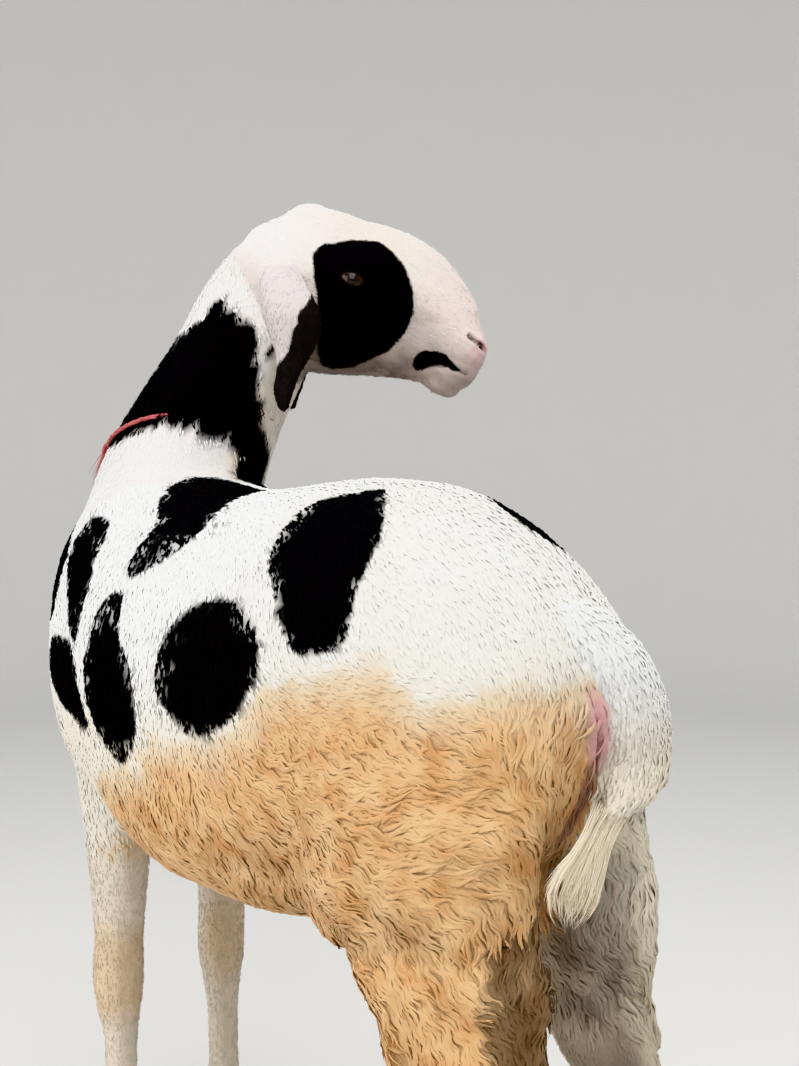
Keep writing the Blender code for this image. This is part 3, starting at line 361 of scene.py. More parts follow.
# Patch round each eye and at each corner of the mouth: to the nose, and up, in the head's frame
EYE_PATCH = [
    (0.038, -0.033), (0.0365, -0.025), (0.0395, -0.017), (0.048, -0.0095), (0.062, 0.003),
    (0.084, 0.0138), (0.102, 0.0118), (0.1206, 0.0042), (0.1365, -0.0085), (0.1472, -0.0256),
    (0.1500, -0.0400), (0.1495, -0.0548), (0.1437, -0.0731), (0.1318, -0.0930), (0.1143, -0.1097),
    (0.0979, -0.1165), (0.0880, -0.1080), (0.0800, -0.0910), (0.0733, -0.0806), (0.0600, -0.0630),
    (0.0483, -0.0459),
]
LIP_PATCH = [
    (0.1754, -0.0704), (0.1705, -0.0630), (0.1721, -0.0542), (0.1782, -0.0493), (0.1869, -0.0450),
    (0.1943, -0.0438), (0.2001, -0.0458), (0.2082, -0.0477), (0.2157, -0.0487), (0.2108, -0.0518),
    (0.2016, -0.0522), (0.1932, -0.0552), (0.1876, -0.0610), (0.1848, -0.0668), (0.1803, -0.0708),
]
# Line between the lips from its corner to the front, and the nostril's slit from front to back
LIPS_LINE = [
    (0.1790, -0.0715), (0.1815, -0.0685), (0.1876, -0.0625), (0.1932, -0.0572), (0.2016, -0.0528),
    (0.2120, -0.0502), (0.2225, -0.0490),
]
NOSTRIL_LINE = [
    (0.2235, 0.0165, -0.0205), (0.2215, 0.0190, -0.0178), (0.2185, 0.0212, -0.0166),
    (0.2135, 0.0235, -0.0166), (0.2085, 0.0250, -0.0160), (0.2050, 0.0258, -0.0152),
]
# The neck's black band: degrees round the neck, height
NECK_BAND = [
    (-100, 0.880), (-71, 0.876), (-58, 0.886), (-47, 0.891), (-51, 0.904), (-45, 0.912), (-30, 0.902),
    (-12, 0.893), (4, 0.885), (15, 0.868), (23, 0.851), (35, 0.829), (52, 0.799), (66, 0.779),
    (85, 0.761), (88, 0.746), (66, 0.749), (43, 0.760), (20, 0.772), (0, 0.782), (-22, 0.790),
    (-40, 0.779), (-60, 0.770), (-80, 0.764), (-110, 0.768), (-140, 0.785), (-155, 0.812),
    (-150, 0.842), (-130, 0.866),
]
NECK_DEGREE = 0.00113  # length of one degree round the neck
# Rear edge of the black on each ear: share of the drop down the ear, shift towards the nose
EAR_EDGE = [
    (0.0, 0.05), (0.15, 0.03), (0.3, 0.014), (0.45, 0.006), (0.6, 0.0), (0.7, -0.012), (0.8, -0.05),
]
# Upper edge of the tan on the left side: ahead, up
TAN_EDGE = [
    (-0.345, 0.605), (-0.336, 0.612), (-0.322, 0.620), (-0.292, 0.618), (-0.271, 0.617),
    (-0.249, 0.626), (-0.224, 0.625), (-0.200, 0.617), (-0.174, 0.606), (-0.150, 0.597),
    (-0.126, 0.581), (-0.092, 0.558), (-0.045, 0.551), (-0.003, 0.538), (0.014, 0.524), (0.067, 0.509),
    (0.120, 0.480), (0.170, 0.440), (0.200, 0.400),
]


def rounded(outline, steps=6):
    """Closed smooth curve through a few points."""
    spots = np.array(outline)
    before, after, later = (np.roll(spots, k, 0)[:, None] for k in (1, -1, -2))
    here = spots[:, None]
    t = (np.arange(steps) / steps)[None, :, None]
    curve = 2 * here + (after - before) * t + (2 * before - 5 * here + 4 * after - later) * t**2
    curve = 0.5 * (curve + (3 * here - before - 3 * after + later) * t**3)
    return curve.reshape(-1, 2)


def depth_inside(across, along, outline, reach=0.02):
    """How far inside a closed outline each point lies, in metres; negative outside it."""
    curve = rounded(outline)
    way = np.roll(curve, -1, 0) - curve
    low, high = curve.min(0) - reach, curve.max(0) + reach
    close = (across > low[0]) & (across < high[0]) & (along > low[1]) & (along < high[1])
    result = np.full(len(across), -reach)
    for some in np.array_split(np.nonzero(close)[0], max(1, close.sum() // 15000)):
        gap = np.stack([across[some], along[some]], 1)[:, None] - curve[None]
        t = np.clip((gap * way).sum(2) / np.maximum((way**2).sum(1), 1e-12), 0, 1)
        away = np.linalg.norm(gap - t[..., None] * way, axis=2).min(1)
        crossed = (gap[..., 1] < 0) != (np.roll(gap, -1, 1)[..., 1] < 0)
        level = np.where(way[:, 1] == 0, 1e-12, way[:, 1])
        crossed &= gap[..., 0] < gap[..., 1] * way[:, 0] / level
        result[some] = np.where(crossed.sum(1) % 2 == 1, away, -away)
    return result


def patch(across, along, centre, halves, tilt):
    """About how far inside a rounded patch, in metres; negative outside it."""
    dx, dy = across - centre[0], along - centre[1]
    c, s = cos(radians(tilt)), sin(radians(tilt))
    u = (dx * c + dy * s) / halves[0]
    v = (-dx * s + dy * c) / halves[1]
    return (1 - (np.abs(u) ** 2.2 + np.abs(v) ** 2.2) ** (1 / 2.2)) * min(halves)


def neck_angles(points):
    """Angle round the neck, 0 towards the photograph's camera and growing to the head's side."""
    axis = np.array(NECK_AXIS) + np.array(POLL)
    order = np.argsort(axis[:, 2])
    x = np.interp(points[:, 2], axis[order, 2], axis[order, 0])
    y = np.interp(points[:, 2], axis[order, 2], axis[order, 1])
    dx, dy = points[:, 0] - x, points[:, 1] - y
    across = PHOTO_RIGHT.x * dx + PHOTO_RIGHT.y * dy
    return np.arctan2(across, PHOTO_BACK.x * dx + PHOTO_BACK.y * dy)


def parts_of(part, *names):
    """Which points lie on the named nodes."""
    return np.isin(part, [FLESH.index(name) for name in names])


def black_mask(points, part):
    """Share of black at each point, with ragged edges a few hairs wide."""
    side, ahead, up = straightened(points)
    girth = girth_of(side, up)
    deep = np.full(len(points), -1.0)
    for outline in LEFT_PATCHES:
        deep = np.maximum(deep, depth_inside(ahead, girth, outline))
    for at, over, long, broad, tilt in RIGHT_PATCHES:
        deep = np.maximum(deep, patch(ahead, girth, (at, over), (long, broad), tilt))
    neck, head, ears = parts_of(part, "neck"), parts_of(part, "head"), parts_of(part, *EARS)
    deep = np.where(parts_of(part, "torso") | (neck & (up < 0.755)), deep, -1.0)
    banded = neck | (head & (in_head(points)[:, 0] < 0.03))
    deep = np.maximum(deep, np.where(banded, neck_black(points), -1.0))
    deep = np.maximum(deep, np.where(head, head_black(points), -1.0))
    deep = np.maximum(deep, np.where(ears, ear_black(points), -1.0))
    ragged = 0.0016 * drift(points, 0.020, 1) + 0.0008 * drift(points, 0.005, 2)
    grey = np.where(ears, 0.975, 1.0)
    return ramp(deep + ragged, -0.0010, 0.0010) * grey


def neck_black(points):
    """The black band of the neck, and the small spot before it on the head's side."""
    around = np.degrees(neck_angles(points)) * NECK_DEGREE
    outline = [(degree * NECK_DEGREE, height) for degree, height in NECK_BAND]
    band = depth_inside(around, points[:, 2], outline)
    spot = patch(around, points[:, 2], NECK_SPOT, (0.0055, 0.0085), 25)
    return np.maximum(band, spot)


def head_black(points):
    """Patches round the eyes and at the corners of the mouth."""
    local = in_head(points)
    x, y, z = local[:, 0], np.abs(local[:, 1]), local[:, 2]
    deep = np.maximum(depth_inside(x, z, EYE_PATCH), depth_inside(x, z, LIP_PATCH))
    return np.where(y > 0.010, deep, -1.0)


def ear_places(points):
    """Shift towards the nose and share of the drop down each ear."""
    root = np.array(POLL) + np.array(HEAD) @ np.array(EAR_ROOT)
    return (points - root) @ np.array(HEAD_HEADING), (root[2] - points[:, 2]) / EAR_LENGTH


def ear_black(points):
    """Front edge and tip of each ear."""
    forward, drop = ear_places(points)
    drops, edges = zip(*EAR_EDGE)
    edge = np.interp(drop, drops, edges)
    front = forward - edge + 0.003 * drift(points, 0.014, 5)
    return np.where(drop > 0.14, front, -1.0)


def tan_mask(points, part):
    """Share of tan: the lower trunk, softly bounded, and the left hind leg."""
    side, ahead, up = straightened(points)
    places, heights = zip(*TAN_EDGE)
    edge = np.interp(ahead, places, heights)
    edge = edge - 0.12 * np.clip(-side, 0, 0.3)
    soft = 0.012 * drift(points, 0.05, 3) + 0.007 * drift(points, 0.014, 4)
    low = ramp(edge + soft - up, -0.014, 0.045)
    share = np.where(parts_of(part, "torso") & (ahead < 0.21), low, 0.0)
    rear_right = (side < -0.01) & (ahead < -0.15)
    inner = np.where(ahead < -0.29, -0.012, -0.05)
    share = np.where(rear_right, share * ramp(side, inner, inner + 0.03), share)
    share = np.where(parts_of(part, "hind_leg_left"), ramp(up, 0.14, 0.30), share)
    knee = ramp(patch(ahead, up, (0.23, 0.27), (0.05, 0.06), 0), -0.01, 0.02)
    elbow = ramp(up, 0.36, 0.42) * ramp(0.10 - side, 0.0, 0.03)
    legs = parts_of(part, "foreleg_left", "foreleg_right")
    return np.where(legs, 0.30 * knee + 0.35 * elbow, share)


def cream_mask(points, part):
    """Share of cream: legs, tail and the fringe of the tan."""
    _, ahead, up = straightened(points)
    share = np.where(parts_of(part, *LEGS), 0.70, 0.0)
    share = np.where(parts_of(part, "hind_leg_right"), 0.95, share)
    share = np.where(parts_of(part, "tail"), 0.75 * ramp(0.62 - up, 0.0, 0.09), share)
    low = ramp(0.605 - 0.10 * ahead - up, -0.02, 0.09) * 0.55
    share = np.where(parts_of(part, "torso"), low + 0.22 * ramp(-ahead, 0.0, 0.2), share)
    throat = parts_of(part, "neck") & (neck_angles(points) > 0.6)
    share = np.where(throat, 0.45, share)
    jaw = ramp(-0.045 - in_head(points)[:, 2], 0.0, 0.03)
    nape = ramp(in_head(points)[:, 0], -0.02, 0.07)
    share = np.where(parts_of(part, "head"), (0.30 + 0.35 * jaw) * nape, share)
    share = np.maximum(share, ramp(tan_mask(points, part), 0.0, 0.3))
    return np.clip(share + 0.12 * drift(points, 0.03, 6), 0, 1)


def hind_inner(points, part):
    """Share of the short-haired inner and rear faces of the hind legs."""
    side, ahead, up = straightened(points)
    low = ramp(0.50 - up, 0.0, 0.02)
    left = ramp(-ahead, 0.322, 0.332) * ramp(0.48 - up, 0.0, 0.02)
    left = left + ramp(0.052 - side, 0.0, 0.012) * low
    right = ramp(side, -0.050, -0.036) * low
    share = np.where(parts_of(part, "hind_leg_left"), left, 0.0)
    share = np.where(parts_of(part, "hind_leg_right"), right, share)
    groin = ramp(0.50 - up, 0.0, 0.03) * ramp(-ahead, 0.27, 0.30) * ramp(0.055 - np.abs(side), 0.0, 0.015)
    return np.clip(np.where(parts_of(part, "torso"), groin, share), 0, 1)


def pink_mask(points, part):
    """Share of bare skin: the muzzle, the ears' hollows, and under the tail."""
    side, ahead, up = straightened(points)
    local = in_head(points)
    nose = patch(local[:, 0], local[:, 2], (0.226, -0.022), (0.013, 0.022), 0)
    muzzle = 0.04 + 0.16 * ramp(local[:, 0], 0.12, 0.18) + 0.40 * ramp(nose, -0.006, 0.006)
    muzzle += 0.16 * ramp(-0.055 - local[:, 2], 0.0, 0.03)
    share = np.where(parts_of(part, "head"), muzzle, 0.0)
    share = np.where(parts_of(part, *EARS), 0.14, share)
    vulva = patch(side, up, VULVA_PLACE, (0.0120, 0.030), -14)
    crease = patch(side, up, CREASE_PLACE, (0.009, 0.032), 14)
    bare = np.maximum(0.85 * ramp(vulva, -0.004, 0.003), 0.32 * ramp(crease, -0.006, 0.004))
    behind = (ahead < -0.24) & parts_of(part, "torso", "hind_leg_right", "tail") & (side > -0.028)
    bare = np.where(parts_of(part, "tail"), np.where(up > 0.55, bare, 0.0), bare)
    share = np.where(behind, np.maximum(share, bare), share)
    inner = hind_inner(points, part)
    return np.where(parts_of(part, "hind_leg_right"), np.maximum(share, 0.15 * inner), share)


def tone_and_painted_shade_mask(points, part):
    """Share of dark brown: greyer face, ears, forelegs and tail, the trunk darker low down and towards the
    rear, and painted shade under the jaw, on the hind legs, between them and in the crease by the tail.
    """
    local = in_head(points)
    x, z = local[:, 0], local[:, 2]
    face = 0.46 + 0.06 * ramp(x, 0.08, 0.17) - 0.44 * ramp(z + 0.2 * x, -0.01, 0.035)
    face = (face + 0.06 * drift(points, 0.030, 8)) * ramp(x, 0.02, 0.10)
    # Painted shade under the jaw and the cheek
    cheek = ramp(-0.055 - z, 0.0, 0.05) * ramp(0.20 - x, 0.0, 0.05)
    share = np.where(parts_of(part, "head"), face + 0.30 * cheek, 0.0)
    share = np.where(parts_of(part, *EARS), 0.22, share)
    # Painted shade on the inner and rear faces of the hind legs, and over the whole right hind leg
    inner = hind_inner(points, part)
    share = np.where(parts_of(part, "hind_leg_left"), 0.04 + 0.70 * inner, share)
    share = np.where(parts_of(part, "hind_leg_right"), 0.34 + 0.26 * inner, share)
    side, ahead, up = straightened(points)
    # Painted shadow in the crease between the left thigh and the tail
    crease = ramp(patch(side, up, CREASE_PLACE, (0.010, 0.036), 16), -0.006, 0.006)
    # The trunk darker towards the rear and low down, with painted shade between the hind legs
    rump = 0.12 * ramp(-ahead, -0.05, 0.20) + 0.12 * ramp(0.53 - up, 0.0, 0.09)
    share = np.where(parts_of(part, "torso"), np.maximum(rump + 0.40 * inner, 0.62 * crease), share)
    share = np.where(parts_of(part, "foreleg_left", "foreleg_right"), 0.18, share)
    share = np.where(parts_of(part, "tail"), 0.14, share) * (1 + 0.3 * drift(points, 0.02, 7))
    return np.clip(share, 0.0, 0.75)


# Skin


def fused_flesh(grain):
    """All nodes of flesh swollen shut at their joints and fused on one grid."""
    points, faces, start = [], [], 0
    for name in FLESH:
        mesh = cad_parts[name].data
        spots = points_of(mesh)
        if name == "tail":
            # The tassel's locks are drawn back into the tail's tip
            tip = np.array(bent(*TAIL_TIP))
            spots = tip + (spots - tip) * np.clip((spots[:, 2:] - tip[2]) / 0.014, 0, 1)
        points.append(spots)
        faces.append(triangles_of(mesh) + start)
        start += len(points[-1])
    mesh = mesh_from("skin_source", np.concatenate(points), np.concatenate(faces))
    source = new_object("skin_source", mesh)
    weld = source.modifiers.new("weld", "WELD")
    weld.merge_threshold = 0.00001
    # A little more than half of the widest gap between two nodes
    swell = source.modifiers.new("swell", "DISPLACE")
    swell.strength = 0.0004
    swell.mid_level = 0.0
    fuse = source.modifiers.new("fuse", "REMESH")
    fuse.mode = "VOXEL"
    fuse.voxel_size = grain
    return applied(source, "skin")


def applied(obj, name):
    """New object from what the modifiers of obj make; obj is removed."""
    graph = bpy.context.evaluated_depsgraph_get()
    mesh = bpy.data.meshes.new_from_object(obj.evaluated_get(graph))
    mesh.name = name
    bpy.data.objects.remove(obj)
    return new_object(name, mesh)


def nearest_part(points):
    """Index in FLESH of the node that each point lies on."""
    vertices, polygons, owner, start = [], [], [], 0
    for n, name in enumerate(FLESH):
        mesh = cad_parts[name].data
        triangles = triangles_of(mesh) + start
        vertices += [Vector(p) for p in points_of(mesh)]
        polygons += triangles.tolist()
        owner += [n] * len(triangles)
        start = len(vertices)
    tree = BVHTree.FromPolygons(vertices, polygons)
    return np.array([owner[tree.find_nearest(p)[2]] for p in points.tolist()])


def may_be_thinned(points, part):
    """Where the skin may be thinned: all but the head, the ears and the folds under the tail."""
    side, ahead, up = straightened(points)
    rear = (ahead < -0.31) & (up > 0.49) & (up < 0.64) & (np.abs(side) < 0.06)
    return ~(parts_of(part, *HEAD_AND_EARS) | rear)


def wool_reach(points):
    """Share of the long wavy wool at each point: 1 on belly, lower flank, thigh and gaskin."""
    _, ahead, up = straightened(points)
    top = 0.640 - 0.30 * (ahead + 0.35) + 0.012 * drift(points, 0.05, 8)
    share = np.minimum(ramp(top - up, -0.01, 0.05), ramp(up, 0.33, 0.36))
    return np.minimum(share, ramp(0.21 - ahead, 0.0, 0.06))


def smooth_by(obj, weights, rounds, name):
    """Smoothing modifier that works on each vertex by its weight, in steps of a sixteenth."""
    group = obj.vertex_groups.new(name=name)
    levels = np.clip((weights * 16).round().astype(int), 0, 16)
    for level in range(1, 17):
        chosen = np.nonzero(levels == level)[0]
        if len(chosen):
            group.add(chosen.tolist(), level / 16, "REPLACE")
    step = obj.modifiers.new(name, "SMOOTH")
    step.factor = 0.5
    step.iterations = rounds
    step.vertex_group = name


def coat_depth(points, part):
    """How far the skin lies inside the solids, for the coat to stand on."""
    wool = wool_reach(points)
    depth = np.full(len(points), 0.0014)
    depth = np.where(parts_of(part, "torso"), 0.0018 + 0.0008 * wool, depth)
    depth = np.where(parts_of(part, "neck", "tail"), 0.0018, depth)
    depth = np.where(parts_of(part, "head"), 0.0010, depth)
    depth = np.where(parts_of(part, *EARS), 0.0004, depth)
    return np.where(parts_of(part, "hind_leg_left", "hind_leg_right"), 0.0014 + 0.0022 * wool, depth)


def away_from_line(spots, path):
    """Distance of each spot from an open line of points."""
    away = np.full(len(spots), 1.0)
    for one, two in zip(path, path[1:]):
        one, way = np.array(one), np.array(two) - np.array(one)
        t = np.clip((spots - one) @ way / (way @ way), 0, 1)
        away = np.minimum(away, np.linalg.norm(spots - one - t[:, None] * way, axis=1))
    return away


def ridge(away, place, width):
    """A rounded ridge, 1 high, at one distance from a line."""
    return np.exp(-(((away - place) / width) ** 2))


def mouth_and_nose(points):
    """Height of the face's folds, lips and nostrils above the skin, and the painted shade inside the
    nostrils and in the groove between the lips.
    """
    local = in_head(points)
    x, y, z = local[:, 0], np.abs(local[:, 1]), local[:, 2]
    spots = np.stack([x, y, z], 1)
    parting = away_from_line(spots[:, [0, 2]], LIPS_LINE)
    groove = np.clip(1 - parting / 0.0021, 0, 1) ** 1.2 * ramp(x, 0.174, 0.184)
    lip = ridge(parting, 0.0050, 0.0030) * ramp(x, 0.175, 0.19)
    fold = drift(spots * np.array([1.0, 0.6, 2.6]), 0.016, 14) + 0.5 * drift(spots, 0.009, 15)
    fold = 0.0007 * fold * ramp(x, 0.10, 0.15)
    away = away_from_line(spots, NOSTRIL_LINE)
    wing = ridge(away, 0.0052, 0.0024) * 0.0011
    nostril = wing - 0.0058 * ramp(0.0034 - away, 0.0, 0.0026)
    # Painted shade inside the nostrils and along the groove between the lips
    dark = np.maximum(0.8 * ramp(0.0029 - away, 0.0, 0.0020), 0.75 * groove)
    return fold - 0.0024 * groove + 0.0009 * lip + nostril, dark


def under_tail(points):
    """Height of the two lips below the tail, and the painted shade in the slit between them."""
    side, _, up = straightened(points)
    across = side - VULVA_PLACE[0] - 0.25 * (up - VULVA_PLACE[1])
    tall = np.clip(1 - ((up - VULVA_PLACE[1]) / 0.032) ** 2, 0, 1) ** 0.7
    slit = ridge(across, 0.0, 0.0015) * ramp(VULVA_PLACE[1] + 0.014 - up, 0.0, 0.008)
    slit *= ramp(up, 0.530, 0.545)
    lips = ridge(np.abs(across), 0.0066, 0.0050) * 0.0058
    wrinkle = 0.0003 * np.sin(tau * up / 0.0075 + 2.0 * drift(points, 0.012, 9))
    # Painted shade in the slit
    return tall * (lips + wrinkle) - 0.0050 * slit, 0.6 * slit


def sculpt(points, normals, part):
    """Moves the skin's points for the mouth, nostrils, sockets and the folds under the tail, and gives the
    painted shade in their creases.
    """
    head = parts_of(part, "head")
    behind = parts_of(part, "torso") & (straightened(points)[1] < -0.28)
    move, dark = np.zeros(len(points)), np.zeros(len(points))
    for where, (height, shade) in ((head, mouth_and_nose(points)), (behind, under_tail(points))):
        move += np.where(where, height, 0.0)
        dark = np.maximum(dark, np.where(where, shade, 0.0))
    moved = points + normals * move[:, None]
    for which in (1, -1):
        moved = open_socket(moved, which)
    return moved, dark


def eye_axes(side):
    """Columns: along the lids, up across them, and out."""
    out = HEAD @ Vector((EYE_LOOK.x, EYE_LOOK.y * side, EYE_LOOK.z))
    lids = HEAD @ Vector((1.0, 0.0, 0.24))
    lids = (lids - out * lids.dot(out)).normalized()
    return Matrix((lids, out.cross(lids), out)).transposed()


def almond(across, up):
    """Below 1 inside the lids' opening."""
    half = EYE_OPENING[0] / 2
    x = np.clip(across / half, -1.6, 1.6)
    tall = EYE_OPENING[1] / 2 * np.maximum(1 - x * x, 0.0) ** 0.62
    return np.where(np.abs(x) < 1, np.abs(up) / np.maximum(tall, 1e-5), 9.0)


def open_socket(points, side):
    """Sinks the skin behind the eyeball inside the opening of the lids."""
    axes = np.array(eye_axes(side))
    centre = np.array(eye_centre(side))
    local = (points - centre) @ axes
    inside = (almond(local[:, 0] / 1.12, local[:, 1] / 1.25) < 1) & (local[:, 2] > 0)
    inside &= np.linalg.norm(local, axis=1) < 0.03
    reach = np.linalg.norm(local, axis=1)
    sunk = local * (0.0105 / np.maximum(reach, 1e-6))[:, None]
    return np.where(inside[:, None], centre + sunk @ axes.T, points)


def store_markings(mesh, points, part, dark):
    """Writes the coat's markings and painted shade to a mesh, each vertex at its own place."""
    # The deepest painted shade, in nostrils, lip groove and slit, turns black, as do the lids' dark margins
    black = np.maximum(black_mask(points, part), 0.8 * ramp(dark, 0.5, 0.8))
    wool = parts_of(part, "tail", *WOOLLY)
    put(mesh, "black", black)
    put(mesh, "tan", tan_mask(points, part))
    put(mesh, "cream", cream_mask(points, part))
    put(mesh, "pink", pink_mask(points, part))
    put(mesh, "part", part.astype(float))
    put(mesh, "dark", np.maximum(tone_and_painted_shade_mask(points, part), dark))
    # Painted shade: the skin is darkened like the tufts' roots, a little more under the wool
    put(mesh, "tip", np.where(wool, 0.60, 0.80))
    put(mesh, "vary", np.where(wool, 0.0, 0.20))


def unwrap(points, part):
    """UV of points from the skin's own shape: each part is rolled out round its own line."""
    side, ahead, up = straightened(points)
    nose, left, top = in_head(points).T
    girth = np.arctan2(side, up - TRUNK_MIDDLE) / tau + 0.5
    round_neck = neck_angles(points) / tau + 0.5
    round_head = np.arctan2(left, top + 0.045) / tau + 0.5
    rolled = {
        "torso": (0.02 + 0.56 * (0.40 - ahead) / 0.80, 0.02 + 0.56 * girth),
        "neck": (0.62 + 0.34 * round_neck, 0.02 + 0.28 * (up - 0.62) / 0.40),
        "head": (0.62 + 0.34 * round_head, 0.32 + 0.30 * (nose + 0.08) / 0.33),
        "tail": (0.62 + 0.15 * (side + 0.13) / 0.20, 0.64 + 0.14 * (up - 0.42) / 0.28),
    }
    for n, name in enumerate(LEGS):
        middle = 0.25 if name.startswith("foreleg") else -0.31
        inner = 0.078 if name.endswith("left") else -0.052
        turn = np.arctan2(side - inner, ahead - middle) / tau + 0.5
        rolled[name] = (0.02 + 0.14 * (n + turn * 0.96), 0.61 + 0.37 * up / 0.46)
    forward = (points - np.array(POLL)) @ np.array(HEAD_HEADING)
    for n, name in enumerate(EARS):
        drop = 0.3 * (0.99 - up) / 0.2 + (np.abs(left) - 0.052) * 0.4
        rolled[name] = (0.80 + 0.09 * n + 0.08 * ((forward + 0.03) / 0.12), 0.66 + drop)
    u, v = np.zeros(len(points)), np.zeros(len(points))
    for name, (across, along) in rolled.items():
        here = parts_of(part, name)
        u, v = np.where(here, across, u), np.where(here, along, v)
    return np.clip(np.stack([u, v], 1), 0.002, 0.998)


def put_uv(mesh, values):
    """UV map OFBake, one pair per vertex."""
    layer = mesh.uv_layers.new(name="OFBake")
    index = gathered(mesh.loops, "vertex_index", 1, np.int32)[:, 0]
    layer.data.foreach_set("uv", values[index].astype(np.float32).ravel())


def refine(mesh):
    """Splits the skin's edges once more round the muzzle and eyes."""
    work = bmesh.new()
    work.from_mesh(mesh)
    turn = HEAD.transposed()
    chosen = []
    eyes = eye_places()
    for edge in work.edges:
        place = turn @ ((edge.verts[0].co + edge.verts[1].co) / 2 - POLL)
        if 0.168 < place.x < 0.26 or min((place - e).length for e in eyes) < 0.024:
            chosen.append(edge)
    bmesh.ops.subdivide_edges(work, edges=chosen, cuts=1, use_grid_fill=True)
    bmesh.ops.triangulate(work, faces=[f for f in work.faces if len(f.verts) > 4])
    work.to_mesh(mesh)
    work.free()


def largest_only(mesh):
    """Drops loose scraps from a mesh."""
    work = bmesh.new()
    work.from_mesh(mesh)
    seen, best = set(), []
    for face in work.faces:
        if face.index in seen:
            continue
        seen.add(face.index)
        shell, edge = [face], [face]
        while edge:
            for side in edge.pop().edges:
                for near in side.link_faces:
                    if near.index not in seen:
                        seen.add(near.index)
                        shell.append(near)
                        edge.append(near)
        if len(shell) > len(best):
            best = shell
    keep = set(f.index for f in best)
    bmesh.ops.delete(work, geom=[f for f in work.faces if f.index not in keep], context="FACES")
    work.to_mesh(mesh)
    work.free()


def eye_places():
    """Both eyes in the head's frame."""
    return [EYE_PLACE, Vector((EYE_PLACE.x, -EYE_PLACE.y, EYE_PLACE.z))]


def smooth_and_thin(skin):
    """Smooths the fused skin, most where the long wool will lie, and drops needless triangles."""
    points = points_of(skin.data)
    part = nearest_part(points)
    local = in_head(points)
    eyes = np.array(eye_places())
    near_eye = np.min(np.linalg.norm(local[:, None, :] - eyes[None], axis=2), axis=1) < 0.022
    soft = np.where(parts_of(part, *HEAD_AND_EARS), 0.25, 0.75)
    smooth_by(skin, np.where(near_eye, 0.12, soft), 10, "soft")
    smooth_by(skin, np.where(parts_of(part, *WOOLLY), wool_reach(points), 0.0), 60, "wool")
    group = skin.vertex_groups.new(name="coarse")
    group.add(np.nonzero(may_be_thinned(points, part))[0].tolist(), 1.0, "REPLACE")
    thin = skin.modifiers.new("thin", "DECIMATE")
    thin.ratio = 0.15
    thin.vertex_group = "coarse"
    thin.vertex_group_factor = 1.0
    return applied(skin, "skin")


def build_skin(sizes):
    """The one skin: fused, smoothed, thinned, sunk by the coat's depth, then sculpted."""
    skin = smooth_and_thin(fused_flesh(sizes.skin_grain * (1.0)))
    mesh = skin.data
    largest_only(mesh)
    refine(mesh)
    points = points_of(mesh)
    part = nearest_part(points)
    edges = edges_of(mesh)
    loose = np.where(parts_of(part, *HEAD_AND_EARS), 0.0, 0.5)[:, None]
    for _ in range(3):
        points += (neighbour_mean(points, edges) - points) * loose
    move_points(mesh, points)
    normals = normals_of(mesh)
    points = points - normals * coat_depth(points, part)[:, None]
    points, dark = sculpt(points, normals, part)
    move_points(mesh, points)
    mesh.shade_smooth()
    store_markings(mesh, points, part, dark)
    put_uv(mesh, unwrap(points, part))
    mesh.materials.clear()
    mesh.materials.append(coat_material("skin"))
    return show(skin, FLESH)


# Coat


class Surface:
    """The skin's triangles, ready to be sampled."""

    def __init__(self, skin):
        mesh = skin.data
        self.points = points_of(mesh)
        self.normals = normals_of(mesh)
        edges = edges_of(mesh)
        for _ in range(5):
            self.normals = unit(neighbour_mean(self.normals, edges) + self.normals * 0.5)
        self.part = take(mesh, "part").round().astype(int)
        self.faces = triangles_of(mesh)
        a, b, c = (self.points[self.faces[:, k]] for k in range(3))
        self.area = np.linalg.norm(np.cross(b - a, c - a), axis=1) / 2
        self.tree = BVHTree.FromPolygons(self.points.tolist(), self.faces.tolist())

    def scatter(self, weight, spacing):
        """Roots, normals and parts spread at about one per spacing squared where weight is 1."""
        share = weight[self.faces].mean(axis=1) * self.area / spacing**2
        picks = np.repeat(np.arange(len(share)), rng.poisson(share))
        one, two = rng.random(len(picks)), rng.random(len(picks))
        flip = one + two > 1
        one, two = np.where(flip, 1 - one, one), np.where(flip, 1 - two, two)
        shares = np.stack([1 - one - two, one, two], 1)
        corners = self.faces[picks]
        root = (self.points[corners] * shares[:, :, None]).sum(axis=1)
        normal = unit((self.normals[corners] * shares[:, :, None]).sum(axis=1))
        return root, normal, self.part[corners[:, 0]]

    def drop(self, points):
        """Nearest points of the skin."""
        return np.array([self.tree.find_nearest(p)[0] for p in points.tolist()])


def flattened(vectors, normal):
    """What is left of vectors along the skin."""
    return vectors - normal * (vectors * normal).sum(axis=1, keepdims=True)


def trunk_lie(root, forward, outward, down):
    """Backwards and down over the trunk, more backwards over the left thigh and on top."""
    side, ahead, up = straightened(root)
    thigh = ramp(-ahead, 0.10, 0.20) * ramp(0.66 - up, 0.0, 0.05) * ramp(up, 0.40, 0.50)
    thigh = thigh * ramp(ahead, -0.330, -0.300) * (side > 0)
    belly = ramp(0.56 - up, 0.0, 0.05) * (1 - thigh)
    backward = 0.35 + 0.65 * ramp(up, 0.62, 0.74) + 0.95 * thigh - 0.15 * belly
    lie = -forward * backward[:, None] + down * (1.15 - 1.05 * thigh)[:, None]
    return lie + outward * (np.sign(side) * 0.25 * ramp(up, 0.70, 0.76))[:, None]


